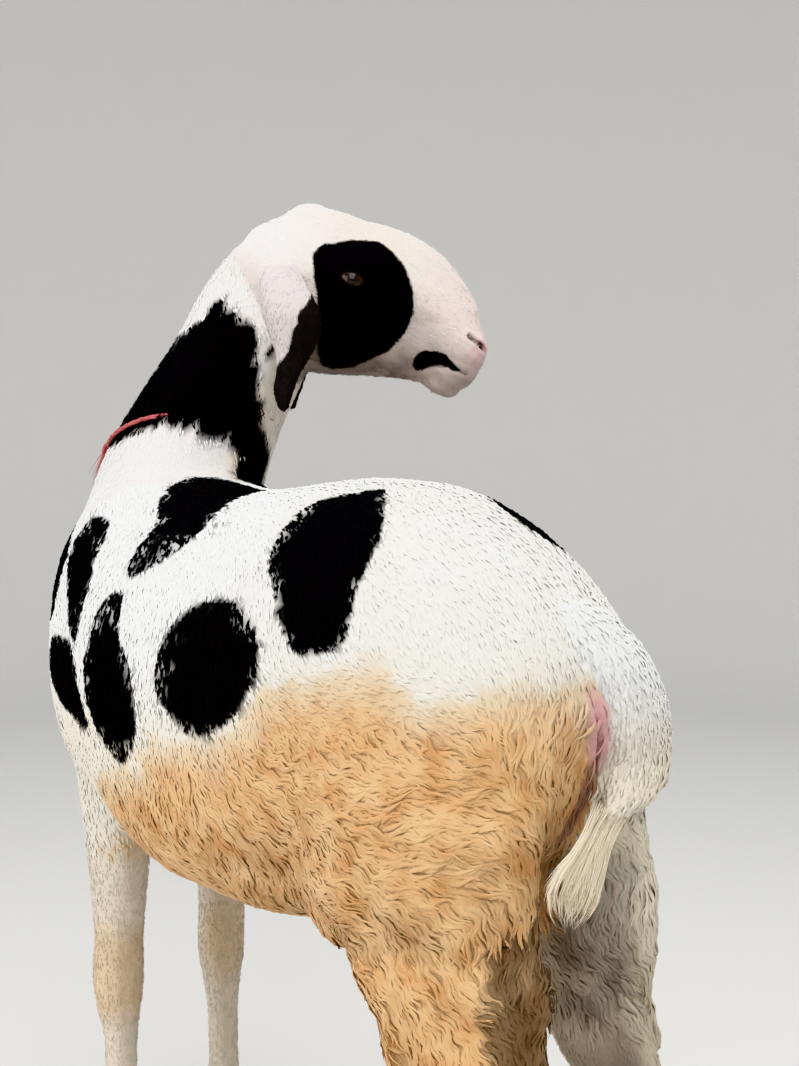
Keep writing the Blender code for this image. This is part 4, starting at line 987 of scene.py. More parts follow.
def lie_of(root, normal, part):
    """Direction in which the coat lies at each root, along the skin."""
    _, ahead, up = straightened(root)
    turn = SPINE_BEND * ahead
    level = np.zeros(len(root))
    forward = np.stack([-np.sin(turn), -np.cos(turn), level], 1)
    outward = np.stack([np.cos(turn), -np.sin(turn), level], 1)
    down = np.stack([level, level, level - 1], 1)
    nose, _, top = np.array(HEAD).T
    sweep = 0.18 + np.where(parts_of(part, "hind_leg_left"), 0.9, 0.25) * ramp(up, 0.36, 0.44)
    drawn = 0.6 * ramp(0.580 - up, 0.0, 0.035) - 0.35 * ramp(up, 0.56, 0.62)
    lies = [
        (["head"], top * 0.25 * np.sign(in_head(root)[:, 2] + 0.05)[:, None] - nose),
        (LEGS, down - forward * sweep[:, None]),
        (["neck"], down - 0.25 * forward),
        (["tail"], down + outward * drawn[:, None]),
        (EARS, down),
    ]
    lie = trunk_lie(root, forward, outward, down)
    for names, way in lies:
        lie = np.where(parts_of(part, *names)[:, None], way, lie)
    lie = flattened(lie, normal)
    across = np.linalg.norm(lie, axis=1) < 0.15
    return unit(np.where(across[:, None], flattened(-forward, normal), lie))


def turned(vectors, axis, angle):
    """Vectors square to axis turned about it."""
    c, s = np.cos(angle)[:, None], np.sin(angle)[:, None]
    return vectors * c + np.cross(axis, vectors) * s


def clumps(root, size, seed):
    """For each root, the middle of its clump and a number of its own for each clump."""
    warp = np.stack([drift(root, size * 2.2, seed + n) for n in range(3)], 1) * size * 0.7
    cell = np.floor((root + warp) / size).astype(np.int64)
    key = ((cell[:, 0] + 4096) * 8192 + cell[:, 1] + 4096) * 8192 + cell[:, 2]
    _, index, count = np.unique(key, return_inverse=True, return_counts=True)
    middle = np.stack([np.bincount(index, root[:, n]) / count for n in range(3)], 1)
    draw = rng.random(len(count))
    return middle[index], draw[index]


class Tufts:
    """Closed three-sided tufts that lie along the skin and taper to a point.

    Of a style, lift, sink and skirt are heights in metres: of the tuft's middle over the skin,
    of its root below it, and of its two sides below its middle. Wave is the length of one wave,
    sway and heave its reach across and up. Swirl, stray and ragged turn the tufts, in radians,
    by place, by clump and one by one. Pull, flare, crown and soft are shares: of the way to the
    clump's middle, of the lift left at the tip, of the rounded top, and of the skin's own light.
    Clump and swirl_size are metres across, size scales each tuft, and a frayed tuft is as black
    all along as it is at its middle.
    """

    def __init__(self, surface, root, normal, part, style):
        count = len(root)

        def spread(low, high):
            return low + (high - low) * rng.random(count)

        self.root, self.normal, self.part, self.style = root, normal, part, style
        self.size = style["size"]
        self.length = style["length"] * spread(0.72, 1.25) * self.size
        self.width = style["width"] * spread(0.7, 1.3) * (0.5 + 0.5 * self.size)
        self.lift = style["lift"] * spread(0.45, 1.0) * self.size
        middle, draw = clumps(root, style["clump"], style["seed"])
        turn = style["swirl"] * drift(root, style["swirl_size"], style["seed"] + 3)
        turn = turn + (draw - 0.5) * style["stray"] + rng.normal(0, style["ragged"], count)
        self.lie = turned(lie_of(root, normal, part), normal, turn)
        self.side = unit(np.cross(normal, self.lie))
        end = root + self.lie * self.length[:, None]
        self.drop = surface.drop(end) - end
        self.pull = flattened((middle - root) * style["pull"], normal)
        self.phase = 2.6 * drift(root, 0.035, 9) + 0.5 * rng.normal(0, 1, count) * style["ragged"]
        self.shade = 0.6 * spread(0, 1) + 0.4 * draw

    def centre(self, t):
        """Middle of each tuft at a share of its length, waved and lifted off the skin.

        The first third rises from the root, and the rest settles back towards the skin."""
        style = self.style
        centre = self.root + self.lie * (self.length * t)[:, None]
        centre = centre + self.drop * t * t + self.pull * t**1.3
        _, ahead, up = straightened(centre)
        angle = -tau * (0.75 * ahead + 0.66 * up) / style["wave"] + self.phase
        grown = min(t * 3, 1) * self.size
        settle = 1 - (1 - style["flare"]) * (max(0.0, t - 0.35) / 0.65) ** 2
        rise = self.lift * (1 - (1 - min(t / 0.35, 1)) ** 2) * settle - style["sink"] * (1 - t)
        rise = rise + style["heave"] * np.cos(angle) * grown
        swing = style["sway"] * np.sin(angle) * grown
        return centre + self.side * swing[:, None] + self.normal * rise[:, None]

    def ring(self, centre, t):
        """Three corners round the middle: one side, the crown and the other side."""
        thick = 0.8 + 0.35 * sin(pi * min(t * 1.6, 1)) - 0.62 * max(0.0, t - 0.45) / 0.55
        half = (self.width / 2 * thick)[:, None]
        low = centre - self.normal * self.style["skirt"] * (1 - t)
        crown = centre + self.normal * half * self.style["crown"]
        return [low + self.side * half, crown, low - self.side * half]

    def marks(self, centres, tips):
        """Every number that the coat's material reads, for each point of each tuft."""
        rings, per = self.style["rings"], len(tips)
        seen = self.root + self.lie * (self.length * 0.5)[:, None]
        spots = np.stack([seen] * (rings + 1) if self.style["frayed"] else centres, 1)
        black = black_mask(spots.reshape(-1, 3), np.repeat(self.part, rings + 1))
        black = black.reshape(-1, rings + 1)[:, np.minimum(np.arange(per) // 3, rings)]
        marks = {"black": black}
        masks = {"tan": tan_mask, "cream": cream_mask, "pink": pink_mask, "dark": tone_and_painted_shade_mask}
        for key, mask in masks.items():
            marks[key] = np.repeat(mask(seen, self.part)[:, None], per, 1)
        # Share along the tuft, which the material turns into painted shade at the root
        marks["tip"] = np.tile(tips, (len(seen), 1))
        marks["vary"] = np.repeat(self.shade[:, None], per, 1)
        return marks


def tuft_faces(rings):
    """Faces of one tuft, and which of them are its underside."""
    faces, under = [(2, 1, 0)], [True]
    for n in range(rings - 1):
        for k in range(3):
            a, b = n * 3 + k, n * 3 + (k + 1) % 3
            faces += [(a, b, b + 3), (a, b + 3, a + 3)]
            under += [k == 2, k == 2]
    for k in range(3):
        last = (rings - 1) * 3
        faces.append((last + k, last + (k + 1) % 3, rings * 3))
        under.append(k == 2)
    return np.array(faces), np.array(under)


def tuft_mesh(name, surface, roots, style):
    """Meshes of one field of tufts, in pieces below the coat's face limit."""
    root, normal, part = roots
    if not len(root):
        return
    rings = style["rings"]
    levels = np.linspace(0, 1, rings + 1)
    tips = np.concatenate([np.repeat(levels[:-1], 3), [1.0]])
    per = len(tips)
    tufts = Tufts(surface, root, normal, part, style)
    centres = [tufts.centre(t) for t in levels]
    corners = [spot for t, centre in zip(levels[:-1], centres) for spot in tufts.ring(centre, t)]
    points = np.stack([*corners, centres[-1]], 1)
    marks = tufts.marks(centres, tips)
    faces, under = tuft_faces(rings)
    below = unit(tufts.lie * 0.9 - normal * 0.35)
    # Each tuft's patch of the UV map is about 3 mm across, at its root's place
    patch_across = np.append(np.tile([-1.0, 0.0, 1.0], rings), 0.0)
    spread = np.stack([patch_across, tips * 2 - 1], 1) * 0.0014
    home = unwrap(root, part)
    order = np.lexsort((root[:, 2], straightened(root)[1]))
    step = COAT_PIECE_FACES // len(faces)
    for n, first in enumerate(range(0, len(root), step)):
        pick = order[first : first + step]
        piece_faces = (faces[None] + (np.arange(len(pick)) * per)[:, None, None]).reshape(-1, 3)
        mesh = mesh_from(f"{name}_{n + 1}", points[pick].reshape(-1, 3), piece_faces)
        for key, values in marks.items():
            put(mesh, key, values[pick].ravel())
        put_uv(mesh, (home[pick][:, None, :] + spread[None]).reshape(-1, 2))
        soften(mesh, normal[pick], below[pick], faces, under, style["soft"])
        mesh.materials.append(coat_material("wool"))
        show(new_object(mesh.name, mesh))


def soften(mesh, above, below, faces, under, share):
    """Lets the tufts take part of the light as the skin below them does, as dense fur would."""
    count, per = len(above), faces.max() + 1
    mixed = normals_of(mesh).reshape(count, per, 3) * (1 - share) + above[:, None] * share
    corners = unit(mixed.reshape(-1, 3)).reshape(count, per, 3)[:, faces]
    corners = np.where(under[None, :, None, None], below[:, None, None], corners)
    mesh.normals_split_custom_set(corners.reshape(-1, 3).astype(np.float32))


def sparse():
    """Scale of the tufts' spacing; 1 for the full coat."""
    return 1.0


def build_wavy_wool(sizes):
    """Long wavy locks of the belly, flank and thighs."""
    surface = Surface(bpy.data.objects["skin"])
    weight = np.where(parts_of(surface.part, *WOOLLY), wool_reach(surface.points), 0.0)
    roots = surface.scatter(weight * (1 - 0.9 * bare_share(surface)), 0.0039 * sparse())
    size = 0.55 + 0.45 * ramp(wool_reach(roots[0]), 0.0, 0.9)
    style = {"length": sizes.wavy_length, "width": sizes.wavy_width, "size": size}
    style |= {"rings": 5, "seed": 20, "frayed": False, "lift": 0.0028, "sink": 0.0010, "skirt": 0.0003}
    style |= {"clump": 0.010, "swirl": 0.9, "swirl_size": 0.05, "stray": 0.55, "ragged": 0.10}
    style |= {"wave": 0.018, "sway": 0.0018, "heave": 0.0006}
    style |= {"pull": 0.8, "flare": 0.05, "crown": 0.36, "soft": 0.50}
    tuft_mesh("wool_wavy", surface, roots, style)


def build_crimped_wool(sizes):
    """Short crimped wool of the back, rump, shoulder and tail."""
    surface = Surface(bpy.data.objects["skin"])
    torso, tail = parts_of(surface.part, "torso"), parts_of(surface.part, "tail")
    weight = np.where(torso, 1 - 0.85 * wool_reach(surface.points), np.where(tail, 1.3, 0.0))
    roots = surface.scatter(weight * (1 - 0.9 * bare_share(surface)), 0.0039 * sparse())
    root, _, part = roots
    size = 1 + 0.3 * parts_of(part, "tail") * ramp(0.575 - root[:, 2], 0.0, 0.03)
    style = {"length": sizes.crimp_length, "width": sizes.crimp_width, "size": size}
    style |= {"rings": 3, "seed": 40, "frayed": False, "lift": 0.0019, "sink": 0.0010, "skirt": 0.0003}
    style |= {"clump": 0.0075, "swirl": 0.35, "swirl_size": 0.07, "stray": 0.3, "ragged": 0.10}
    style |= {"wave": 0.0085, "sway": 0.0004, "heave": 0.0005}
    style |= {"pull": 0.4, "flare": -0.25, "crown": 0.34, "soft": 0.52}
    tuft_mesh("wool_crimped", surface, roots, style)


def build_short_hair(sizes):
    """Flat short hair of the head, neck and lower legs."""
    skin = bpy.data.objects["skin"]
    surface = Surface(skin)
    hind = parts_of(surface.part, "hind_leg_left", "hind_leg_right")
    weight = np.where(parts_of(surface.part, "torso", "tail"), 0.0, 1.0)
    weight = weight * np.where(hind, 1 - wool_reach(surface.points), 1.0)
    muzzle = 1 - 0.8 * ramp(in_head(surface.points)[:, 0], 0.185, 0.215)
    weight = np.where(parts_of(surface.part, "head"), weight * muzzle, weight)
    weight = weight * (1 - ramp(take(skin.data, "dark"), 0.78, 0.95))
    roots = surface.scatter(weight, 0.0036 * sparse())
    root, _, part = roots
    neck = parts_of(part, "neck")
    nape = ramp(in_head(root)[:, 0], -0.07, 0.02)
    size = np.where(neck, 1.35 - 0.5 * nape, np.where(parts_of(part, *HEAD_AND_EARS), 0.8, 0.85))
    over = over_collar(root) * neck
    style = {"length": sizes.hair_length, "width": sizes.hair_width, "size": size * (1 + 0.7 * over)}
    style |= {"rings": 2, "seed": 60, "frayed": True, "sink": 0.0004, "skirt": 0.0002}
    style |= {"lift": 0.0017 + 0.0045 * over}
    style |= {"clump": 0.006, "swirl": 0.3, "swirl_size": 0.05, "stray": 0.25, "ragged": 0.12}
    style |= {"wave": 0.02, "sway": 0.0002, "heave": 0.0001}
    style |= {"pull": 0.25, "flare": 0.2, "crown": 0.36, "soft": 0.7}
    tuft_mesh("hair_short", surface, roots, style)


def over_collar(root):
    """Share by which the neck's hair falls over the collar, on the half towards the face."""
    line = np.array(collar_line(120))
    gap = root[:, None, :] - line[None]
    near = np.linalg.norm(gap, axis=2).argmin(axis=1)
    above = gap[np.arange(len(root)), near][:, 2]
    close = ramp(above, -0.002, 0.003) * ramp(0.014 - above, 0.0, 0.006)
    angle = neck_angles(root)
    return close * ramp(angle, radians(-42), radians(-22)) * ramp(radians(62) - angle, 0.0, 0.3)


def bare_share(surface):
    """Share of bare skin below the tail at the skin's own points."""
    pink = pink_mask(surface.points, surface.part)
    return np.where(parts_of(surface.part, "torso", "tail"), ramp(pink, 0.25, 0.6), 0.0)


# Materials


def add(tree, kind, settings=None, links=None):
    """Adds a node with its settings and the links into it."""
    node = tree.nodes.new(kind)
    for key, value in (settings or {}).items():
        if isinstance(key, str) and hasattr(node, key):
            setattr(node, key, value)
        else:
            node.inputs[key].default_value = value
    for key, source in (links or {}).items():
        tree.links.new(source, node.inputs[key])
    return node


def blank_material(name):
    material = bpy.data.materials.new(name)
    material.use_nodes = True
    material.node_tree.nodes.clear()
    return material


def blended(tree, share, one, two, kind="MIX"):
    """Colour output of a mix of two colours; each may be a socket or a colour."""
    node = add(tree, "ShaderNodeMix", {"data_type": "RGBA", "blend_type": kind})
    for socket, value in ((node.inputs[0], share), (node.inputs[6], one), (node.inputs[7], two)):
        if hasattr(value, "is_output"):
            tree.links.new(value, socket)
        else:
            socket.default_value = value
    return node.outputs[2]


def noise(tree, scale, detail):
    """Even noise over the whole body; scale counts its lumps along one metre."""
    place = add(tree, "ShaderNodeTexCoord").outputs["Object"]
    settings = {"Scale": scale, "Detail": detail}
    return add(tree, "ShaderNodeTexNoise", settings, {"Vector": place}).outputs["Fac"]


def between(tree, share, low, high):
    """A value that goes from low to high as share goes from 0 to 1."""
    settings = {"To Min": low, "To Max": high}
    return add(tree, "ShaderNodeMapRange", settings, {"Value": share}).outputs["Result"]


def bumped(tree, height, strength, distance):
    """Normals of a relief, whose depth is in metres."""
    settings = {"Strength": strength, "Distance": distance}
    return add(tree, "ShaderNodeBump", settings, {"Height": height}).outputs["Normal"]


def shaded(material, settings, links):
    """Puts the one surface shader into a material."""
    tree = material.node_tree
    shader = add(tree, "ShaderNodeBsdfPrincipled", settings, links)
    add(tree, "ShaderNodeOutputMaterial", {}, {"Surface": shader.outputs[0]})
    return material


def coat_material(kind):
    """Sheep's wool and hair, matt and softly lit, or the thin-haired skin below it.

    Colours follow the markings that each vertex carries; a tuft is darker at its root and
    differs a little from its neighbours, and the tan has streaks of deeper stain."""
    name = {"wool": "wool_fibre", "skin": "haired_skin"}[kind]
    if name in bpy.data.materials:
        return bpy.data.materials[name]
    colours = bpy.context.scene.sheep_colours
    material = blank_material(name)
    tree = material.node_tree
    mark = {
        key: add(tree, "ShaderNodeAttribute", {"attribute_name": key}).outputs["Fac"]
        for key in ("black", "tan", "cream", "pink", "dark", "tip", "vary")
    }
    # Streaks of deeper stain 25 mm apart
    limits = {"From Min": 0.35, "From Max": 0.70, "To Max": 0.85}
    stain = add(tree, "ShaderNodeMapRange", limits, {"Value": noise(tree, 40.0, 3.0)}).outputs["Result"]
    tan = blended(tree, stain, list(colours.tan), list(colours.rust))
    base = blended(tree, mark["cream"], list(colours.white), list(colours.cream))
    if kind == "skin":
        base = blended(tree, mark["vary"], base, list(colours.flesh))
    base = blended(tree, mark["tan"], base, tan)
    base = blended(tree, mark["pink"], base, list(colours.pink))
    # Dark brown of greyer skin, and of painted shade under the jaw, on the hind legs and in the creases
    base = blended(tree, mark["dark"], base, linear("#2A1B16"))
    base = blended(tree, mark["black"], base, list(colours.black))
    # Each tuft a little lighter or darker, and its root in the shade of its neighbours
    vary, tip = between(tree, mark["vary"], 0.86, 1.04), between(tree, mark["tip"], 0.84, 1.02)
    light = add(tree, "ShaderNodeMath", {"operation": "MULTIPLY"}, {0: vary, 1: tip}).outputs[0]
    grey = add(tree, "ShaderNodeCombineColor", {}, {0: light, 1: light, 2: light}).outputs[0]
    links = {"Base Color": blended(tree, 1.0, base, grey, "MULTIPLY")}
    # Black hair swallows the light that white wool scatters
    links["Specular IOR Level"] = between(tree, mark["black"], 0.22, 0.05)
    links["Sheen Weight"] = between(tree, mark["black"], 0.10, 0.0)
    if kind == "skin":
        # Hair ends 1.2 mm apart
        links["Normal"] = bumped(tree, noise(tree, 800.0, 3.0), 0.6, 0.0007)
    return shaded(material, {"Roughness": 0.85, "IOR": 1.54, "Sheen Roughness": 0.5}, links)


def horn_material():
    """Hoof horn: dark keratin, half polished by wear, with growth rings 2.5 mm apart."""
    material = blank_material("hoof_horn")
    tree = material.node_tree
    place = add(tree, "ShaderNodeTexCoord").outputs["Object"]
    bands = {"wave_type": "BANDS", "bands_direction": "Z", "Scale": 125.0, "Distortion": 2.0, "Detail": 2.0}
    ring = add(tree, "ShaderNodeTexWave", bands, {"Vector": place})
    dark = list(bpy.context.scene.sheep_colours.horn)
    base = blended(tree, noise(tree, 300.0, 4.0), dark, linear("#2B231C"))
    base = blended(tree, 0.25, base, ring.outputs["Color"], "SOFT_LIGHT")
    relief = bumped(tree, ring.outputs["Fac"], 0.4, 0.0004)
    return shaded(material, {"Roughness": 0.42, "IOR": 1.54}, {"Base Color": base, "Normal": relief})


def eye_material():
    """Wet eyeball: dark brown iris with a wide level pupil under a clear cornea."""
    material = blank_material("wet_eye")
    tree = material.node_tree
    across = add(tree, "ShaderNodeAttribute", {"attribute_name": "across"}).outputs["Fac"]
    up = add(tree, "ShaderNodeAttribute", {"attribute_name": "up"}).outputs["Fac"]
    # Pupil 8 by 4 mm, iris 18 mm across
    pupil = oval_mask(tree, across, up, 0.0040, 0.0019)
    iris = oval_mask(tree, across, up, 0.0092, 0.0086)
    brown = blended(tree, noise(tree, 900.0, 3.0), linear("#140D08"), linear("#2A1A0D"))
    base = blended(tree, iris, linear("#3A2F2B"), brown)
    base = blended(tree, pupil, base, linear("#050406"))
    wet = {"Roughness": 0.15, "IOR": 1.376, "Coat Weight": 0.25, "Coat Roughness": 0.04}
    return shaded(material, wet, {"Base Color": base})


def oval_mask(tree, across, up, half_wide, half_high):
    """1 inside an oval, 0 outside, from two length sockets."""

    def scaled(socket, factor):
        return add(tree, "ShaderNodeMath", {"operation": "MULTIPLY", 1: factor}, {0: socket}).outputs[0]

    def squared(socket):
        return add(tree, "ShaderNodeMath", {"operation": "POWER", 1: 2.0}, {0: socket}).outputs[0]

    wide = squared(scaled(across, 1 / half_wide))
    high = squared(scaled(up, 1 / half_high))
    total = add(tree, "ShaderNodeMath", {"operation": "ADD"}, {0: wide, 1: high}).outputs[0]
    limits = {"From Min": 1.1, "From Max": 0.9, "To Max": 1.0}
    return add(tree, "ShaderNodeMapRange", limits, {"Value": total}).outputs["Result"]


def cord_material():
    """Twisted cotton cord, faded red and dusty."""
    material = blank_material("cotton_cord")
    tree = material.node_tree
    red = list(bpy.context.scene.sheep_colours.cord)
    base = blended(tree, noise(tree, 120.0, 4.0), red, linear("#B4706C"))
    relief = bumped(tree, noise(tree, 1500.0, 2.0), 0.6, 0.0003)
    return shaded(material, {"Roughness": 0.9}, {"Base Color": base, "Normal": relief})


def floor_material():
    """Pale matt studio paper."""
    paper = {"Roughness": 0.9, "Base Color": linear("#D9D7D3")}
    return shaded(blank_material("studio_paper"), paper, {})


# Eyes and lids


def build_eye(side, material):
    """Eyeball with a bulging cornea; each vertex knows its place across and up the gaze."""
    which = "left" if side > 0 else "right"
    axes, centre = eye_axes(side), eye_centre(side)
    steps, turns = 40, 48
    points, across, up = [], [], []
    for n in range(steps + 1):
        polar = pi * n / steps
        radius = EYE_RADIUS + 0.0009 * np.exp(-((polar / 0.55) ** 2))
        for k in range(turns):
            x = radius * sin(polar) * cos(tau * k / turns)
            y = radius * sin(polar) * sin(tau * k / turns)
            points.append(centre + axes @ Vector((x, y, radius * cos(polar))))
            across.append(x if polar < pi / 2 else 0.03)
            up.append(y if polar < pi / 2 else 0.03)
    faces = []
    for n in range(steps):
        for k in range(turns):
            a, b = n * turns + k, n * turns + (k + 1) % turns
            faces.append((a, b, b + turns, a + turns))
    mesh = mesh_from(f"eyeball_{which}", np.array(points), np.array(faces)[:, ::-1])
    put(mesh, "across", np.array(across))
    put(mesh, "up", np.array(up))
    mesh.materials.append(material)
    return show(new_object(mesh.name, mesh), [f"eye_{which}"])


def lid_outline(count):
    """Opening of the lids as (across, up) pairs, the front corner first."""
    outline = []
    for k in range(count):
        x = cos(tau * k / count)
        rise = max(1 - x * x, 0.0) ** 0.62 * (1.0 if k < count / 2 else -0.86)
        outline.append((x * EYE_OPENING[0] / 2, rise * EYE_OPENING[1] / 2))
    return outline


# Section of a lid: out from the opening's edge, and height above the eyeball
LID_PROFILE = [
    (0.0012, -0.0022), (0.0000, 0.0000), (0.0000, 0.0011), (0.0006, 0.0019), (0.0017, 0.0023),
    (0.0030, 0.0021), (0.0042, 0.0016), (0.0054, 0.0019), (0.0070, 0.0012), (0.0090, -0.0010),
    (0.0095, -0.0040),
]
# How dark the lid is along that section
LID_MARGIN = [0.9, 0.9, 0.75, 0.4, 0.1, 0.0, 0.0, 0.0, 0.0, 0.0, 0.0]


def lid_points(side, count):
    """The lid's section at each place round the opening, laid on the eyeball."""
    axes, centre = eye_axes(side), eye_centre(side)
    points = []
    for x, y in lid_outline(count):
        away = Vector((x, y * 1.6, 0)).normalized()
        for out, height in LID_PROFILE:
            flat = Vector((x, y, 0)) + away * out
            reach = EYE_RADIUS + 0.0003 + height
            deep = sqrt(max(reach * reach - flat.x**2 - flat.y**2, 0.0))
            if flat.length > reach * 0.97:
                flat = flat.normalized() * reach * 0.97
                deep = sqrt(max(reach * reach - flat.length_squared, 0.0))
            points.append(centre + axes @ Vector((flat.x, flat.y, deep)))
    return np.array(points)


def build_lids(side):
    """Ring of the upper and lower lid: a dark margin on the eye, a rounded lip and a fold behind."""
    which = "left" if side > 0 else "right"
    count, rows = 72, len(LID_PROFILE)
    faces = []
    for k in range(count):
        for n in range(rows):
            a, b = k * rows + n, k * rows + (n + 1) % rows
            c, d = (k + 1) % count * rows + (n + 1) % rows, (k + 1) % count * rows + n
            faces.append((a, b, c, d))
    mesh = mesh_from(f"lids_{which}", lid_points(side, count), np.array(faces))
    work = bmesh.new()
    work.from_mesh(mesh)
    bmesh.ops.recalc_face_normals(work, faces=work.faces)
    work.to_mesh(mesh)
    work.free()
    spots = points_of(mesh)
    part = np.full(len(spots), FLESH.index("head"))
    store_markings(mesh, spots, part, np.tile(LID_MARGIN, count))
    put_uv(mesh, unwrap(spots, part))
    mesh.shade_smooth()
    mesh.materials.append(coat_material("skin"))
    return show(new_object(mesh.name, mesh))


# Collar, hooves and tassel


def tube(name, path, radius, closed=False, sides=8):
    """Round tube along a path of points; radius may vary along it."""
    count = len(path)
    points = []
    for n, point in enumerate(path):
        before = path[n - 1] if closed or n else point
        after = path[(n + 1) % count] if closed or n < count - 1 else point
        along = (after - before).normalized()
        level = along.orthogonal() if abs(along.z) > 0.95 else along.cross(Vector((0, 0, 1)))
        first = level.normalized()
        second = along.cross(first)
        size = radius(n / max(count - 1, 1)) if callable(radius) else radius
        points += [
            point + (first * cos(tau * k / sides) + second * sin(tau * k / sides)) * size
            for k in range(sides)
        ]
    faces = []
    for n in range(count if closed else count - 1):
        for k in range(sides):
            j = (k + 1) % sides
            one, two = n * sides, (n + 1) % count * sides
            faces.append((one + k, one + j, two + j, two + k))
    return mesh_from(name, np.array(points), np.array(faces))


def joined_mesh(name, meshes):
    """One mesh of several."""
    work = bmesh.new()
    for mesh in meshes:
        work.from_mesh(mesh)
        bpy.data.meshes.remove(mesh)
    whole = bpy.data.meshes.new(name)
    work.to_mesh(whole)
    work.free()
    whole.shade_smooth()
    return whole


def collar_line(count):
    """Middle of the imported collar's cord, in order round the neck."""
    points = points_of(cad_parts["collar"].data)
    points = np.unique(points.round(7), axis=0)
    middle = points.mean(axis=0)
    angle = np.arctan2(points[:, 1] - middle[1], points[:, 0] - middle[0])
    line = []
    for k in range(count):
        want = -pi + tau * k / count
        near = np.abs((angle - want + pi) % tau - pi) < 0.16
        weight = np.clip(0.16 - np.abs((angle[near] - want + pi) % tau - pi), 0.01, 1)[:, None]
        spot = (points[near] * weight).sum(axis=0) / weight.sum()
        line.append(Vector(spot))
    # Below the longer hair on the face's side the cord has sunk in
    angle = neck_angles(np.array(line))
    sunk = 0.0060 * ramp(angle, radians(-45), radians(-20)) * ramp(radians(150) - angle, 0.0, 0.4)
    middle = sum(line, Vector()) / len(line)
    return [p + (middle - p).normalized() * deep for p, deep in zip(line, sunk)]


def twisted_plies(line, radius, twists=26):
    """Three plies that turn round the cord's line a number of times."""
    plies = []
    for ply in range(3):
        path = []
        for n, point in enumerate(line):
            along = (line[(n + 1) % len(line)] - line[n - 1]).normalized()
            first = along.cross(Vector((0, 0, 1))).normalized()
            second = along.cross(first)
            angle = tau * (n * twists / len(line) + ply / 3)
            path.append(point + (first * cos(angle) + second * sin(angle)) * radius * 0.52)
        plies.append(tube("ply", path, radius * 0.56, True, 8))
    return plies


def knot_loop(rear):
    """Line of a small knot, about 10 mm across."""
    loop = []
    for n in range(40):
        t = tau * n / 40
        across = 0.0042 * cos(t) + 0.0012 * cos(3 * t)
        loop.append(rear + Vector((across, 0.0050 * sin(2 * t), 0.0048 * sin(3 * t))))
    return loop


def frayed_ends(rear, outward, count=14):
    """Thin fibres that hang from the knot."""
    fibres = []
    for _ in range(count):
        spread = rng.normal(0, 0.35, 3)
        way = (outward * 0.55 + Vector((spread[0], spread[1], -0.8 + 0.4 * spread[2]))).normalized()
        reach = 0.016 + 0.016 * rng.random()
        start = rear + outward * 0.002
        path = [start + way * reach * t + Vector((0, 0, -0.010 * t * t)) for t in np.linspace(0, 1, 7)]
        fibres.append(tube("fray", path, lambda t: 0.00045 * (1.1 - 0.8 * t), False, 5))
    return fibres


def build_collar(sizes):
    """Three thin plies twisted round each other, tied in a small knot with frayed ends."""
    line = collar_line(240)
    rear = min(line, key=lambda p: p.dot(PHOTO_RIGHT))
    outward = (rear - sum(line, Vector()) / len(line)).normalized()
    meshes = twisted_plies(line, sizes.collar_radius)
    meshes.append(tube("knot", knot_loop(rear), sizes.collar_radius * 0.8, True, 8))
    mesh = joined_mesh("collar_cord", meshes + frayed_ends(rear, outward))
    mesh.materials.append(cord_material())
    return show(new_object("collar_cord", mesh), ["collar"])


def finish_hooves():
    """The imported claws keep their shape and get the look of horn."""
    material = horn_material()
    for name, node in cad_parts.items():
        if name.startswith("claw_"):
            node.data.materials.clear()
            node.data.materials.append(material)


# Left and right edge of the tassel from the tail's tip down: side, ahead, up
TASSEL_LEFT = [
    (-0.009, -0.348, 0.552), (0.014, -0.352, 0.533), (0.037, -0.355, 0.520), (0.056, -0.358, 0.510),
    (0.076, -0.361, 0.499), (0.088, -0.362, 0.487), (0.087, -0.362, 0.472), (0.070, -0.359, 0.454),
]
TASSEL_RIGHT = [
    (-0.040, -0.346, 0.530), (-0.017, -0.350, 0.519), (0.001, -0.352, 0.511), (0.011, -0.353, 0.498),
    (0.016, -0.353, 0.478), (0.024, -0.354, 0.463), (0.037, -0.356, 0.456), (0.058, -0.357, 0.451),
]


def along_curve(path, t):
    """Place at a share of the way along evenly spaced points."""
    steps = np.linspace(0, 1, len(path))
    return np.array([np.interp(t, steps, [p[n] for p in path]) for n in range(3)])


def strand(share, curl, turn):
    """One strand of the tassel; share is its place from the left edge to the right one."""
    a, b, c = rng.random(3) - 0.5
    first = 0.16 + 0.42 * rng.random() ** 1.6
    reach = min(0.74 + 0.26 * rng.random() ** 2, first + 0.42 + 0.40 * rng.random())
    path = []
    for t in np.linspace(first, reach, 14) / reach:
        loose = 0.012 * (1 - t) ** 1.5 + 0.0030 + 0.022 * max(0.0, t - 0.65)
        left, right = along_curve(TASSEL_LEFT, t * reach), along_curve(TASSEL_RIGHT, t * reach)
        side, ahead, up = (1 - share) * left + share * right
        side += loose * b + 0.0022 * sin(9 * t + tau * turn)
        side -= 0.016 * (curl - 0.3) * max(0.0, t - 0.7) / 0.3
        ahead += loose * 0.5 * c - 0.004 * sin(pi * t)
        up += 0.010 * (1 - t) ** 3 * (a + 0.35) + 0.012 * (turn - 0.5) * t
        path.append(bent(side, ahead, up))
    size = 0.00042 + 0.00025 * (c + 0.5)
    return tube("strand", path, lambda t: size * min(1.0, 0.3 + 4 * t, 1.9 * (1.03 - t)), False, 4)


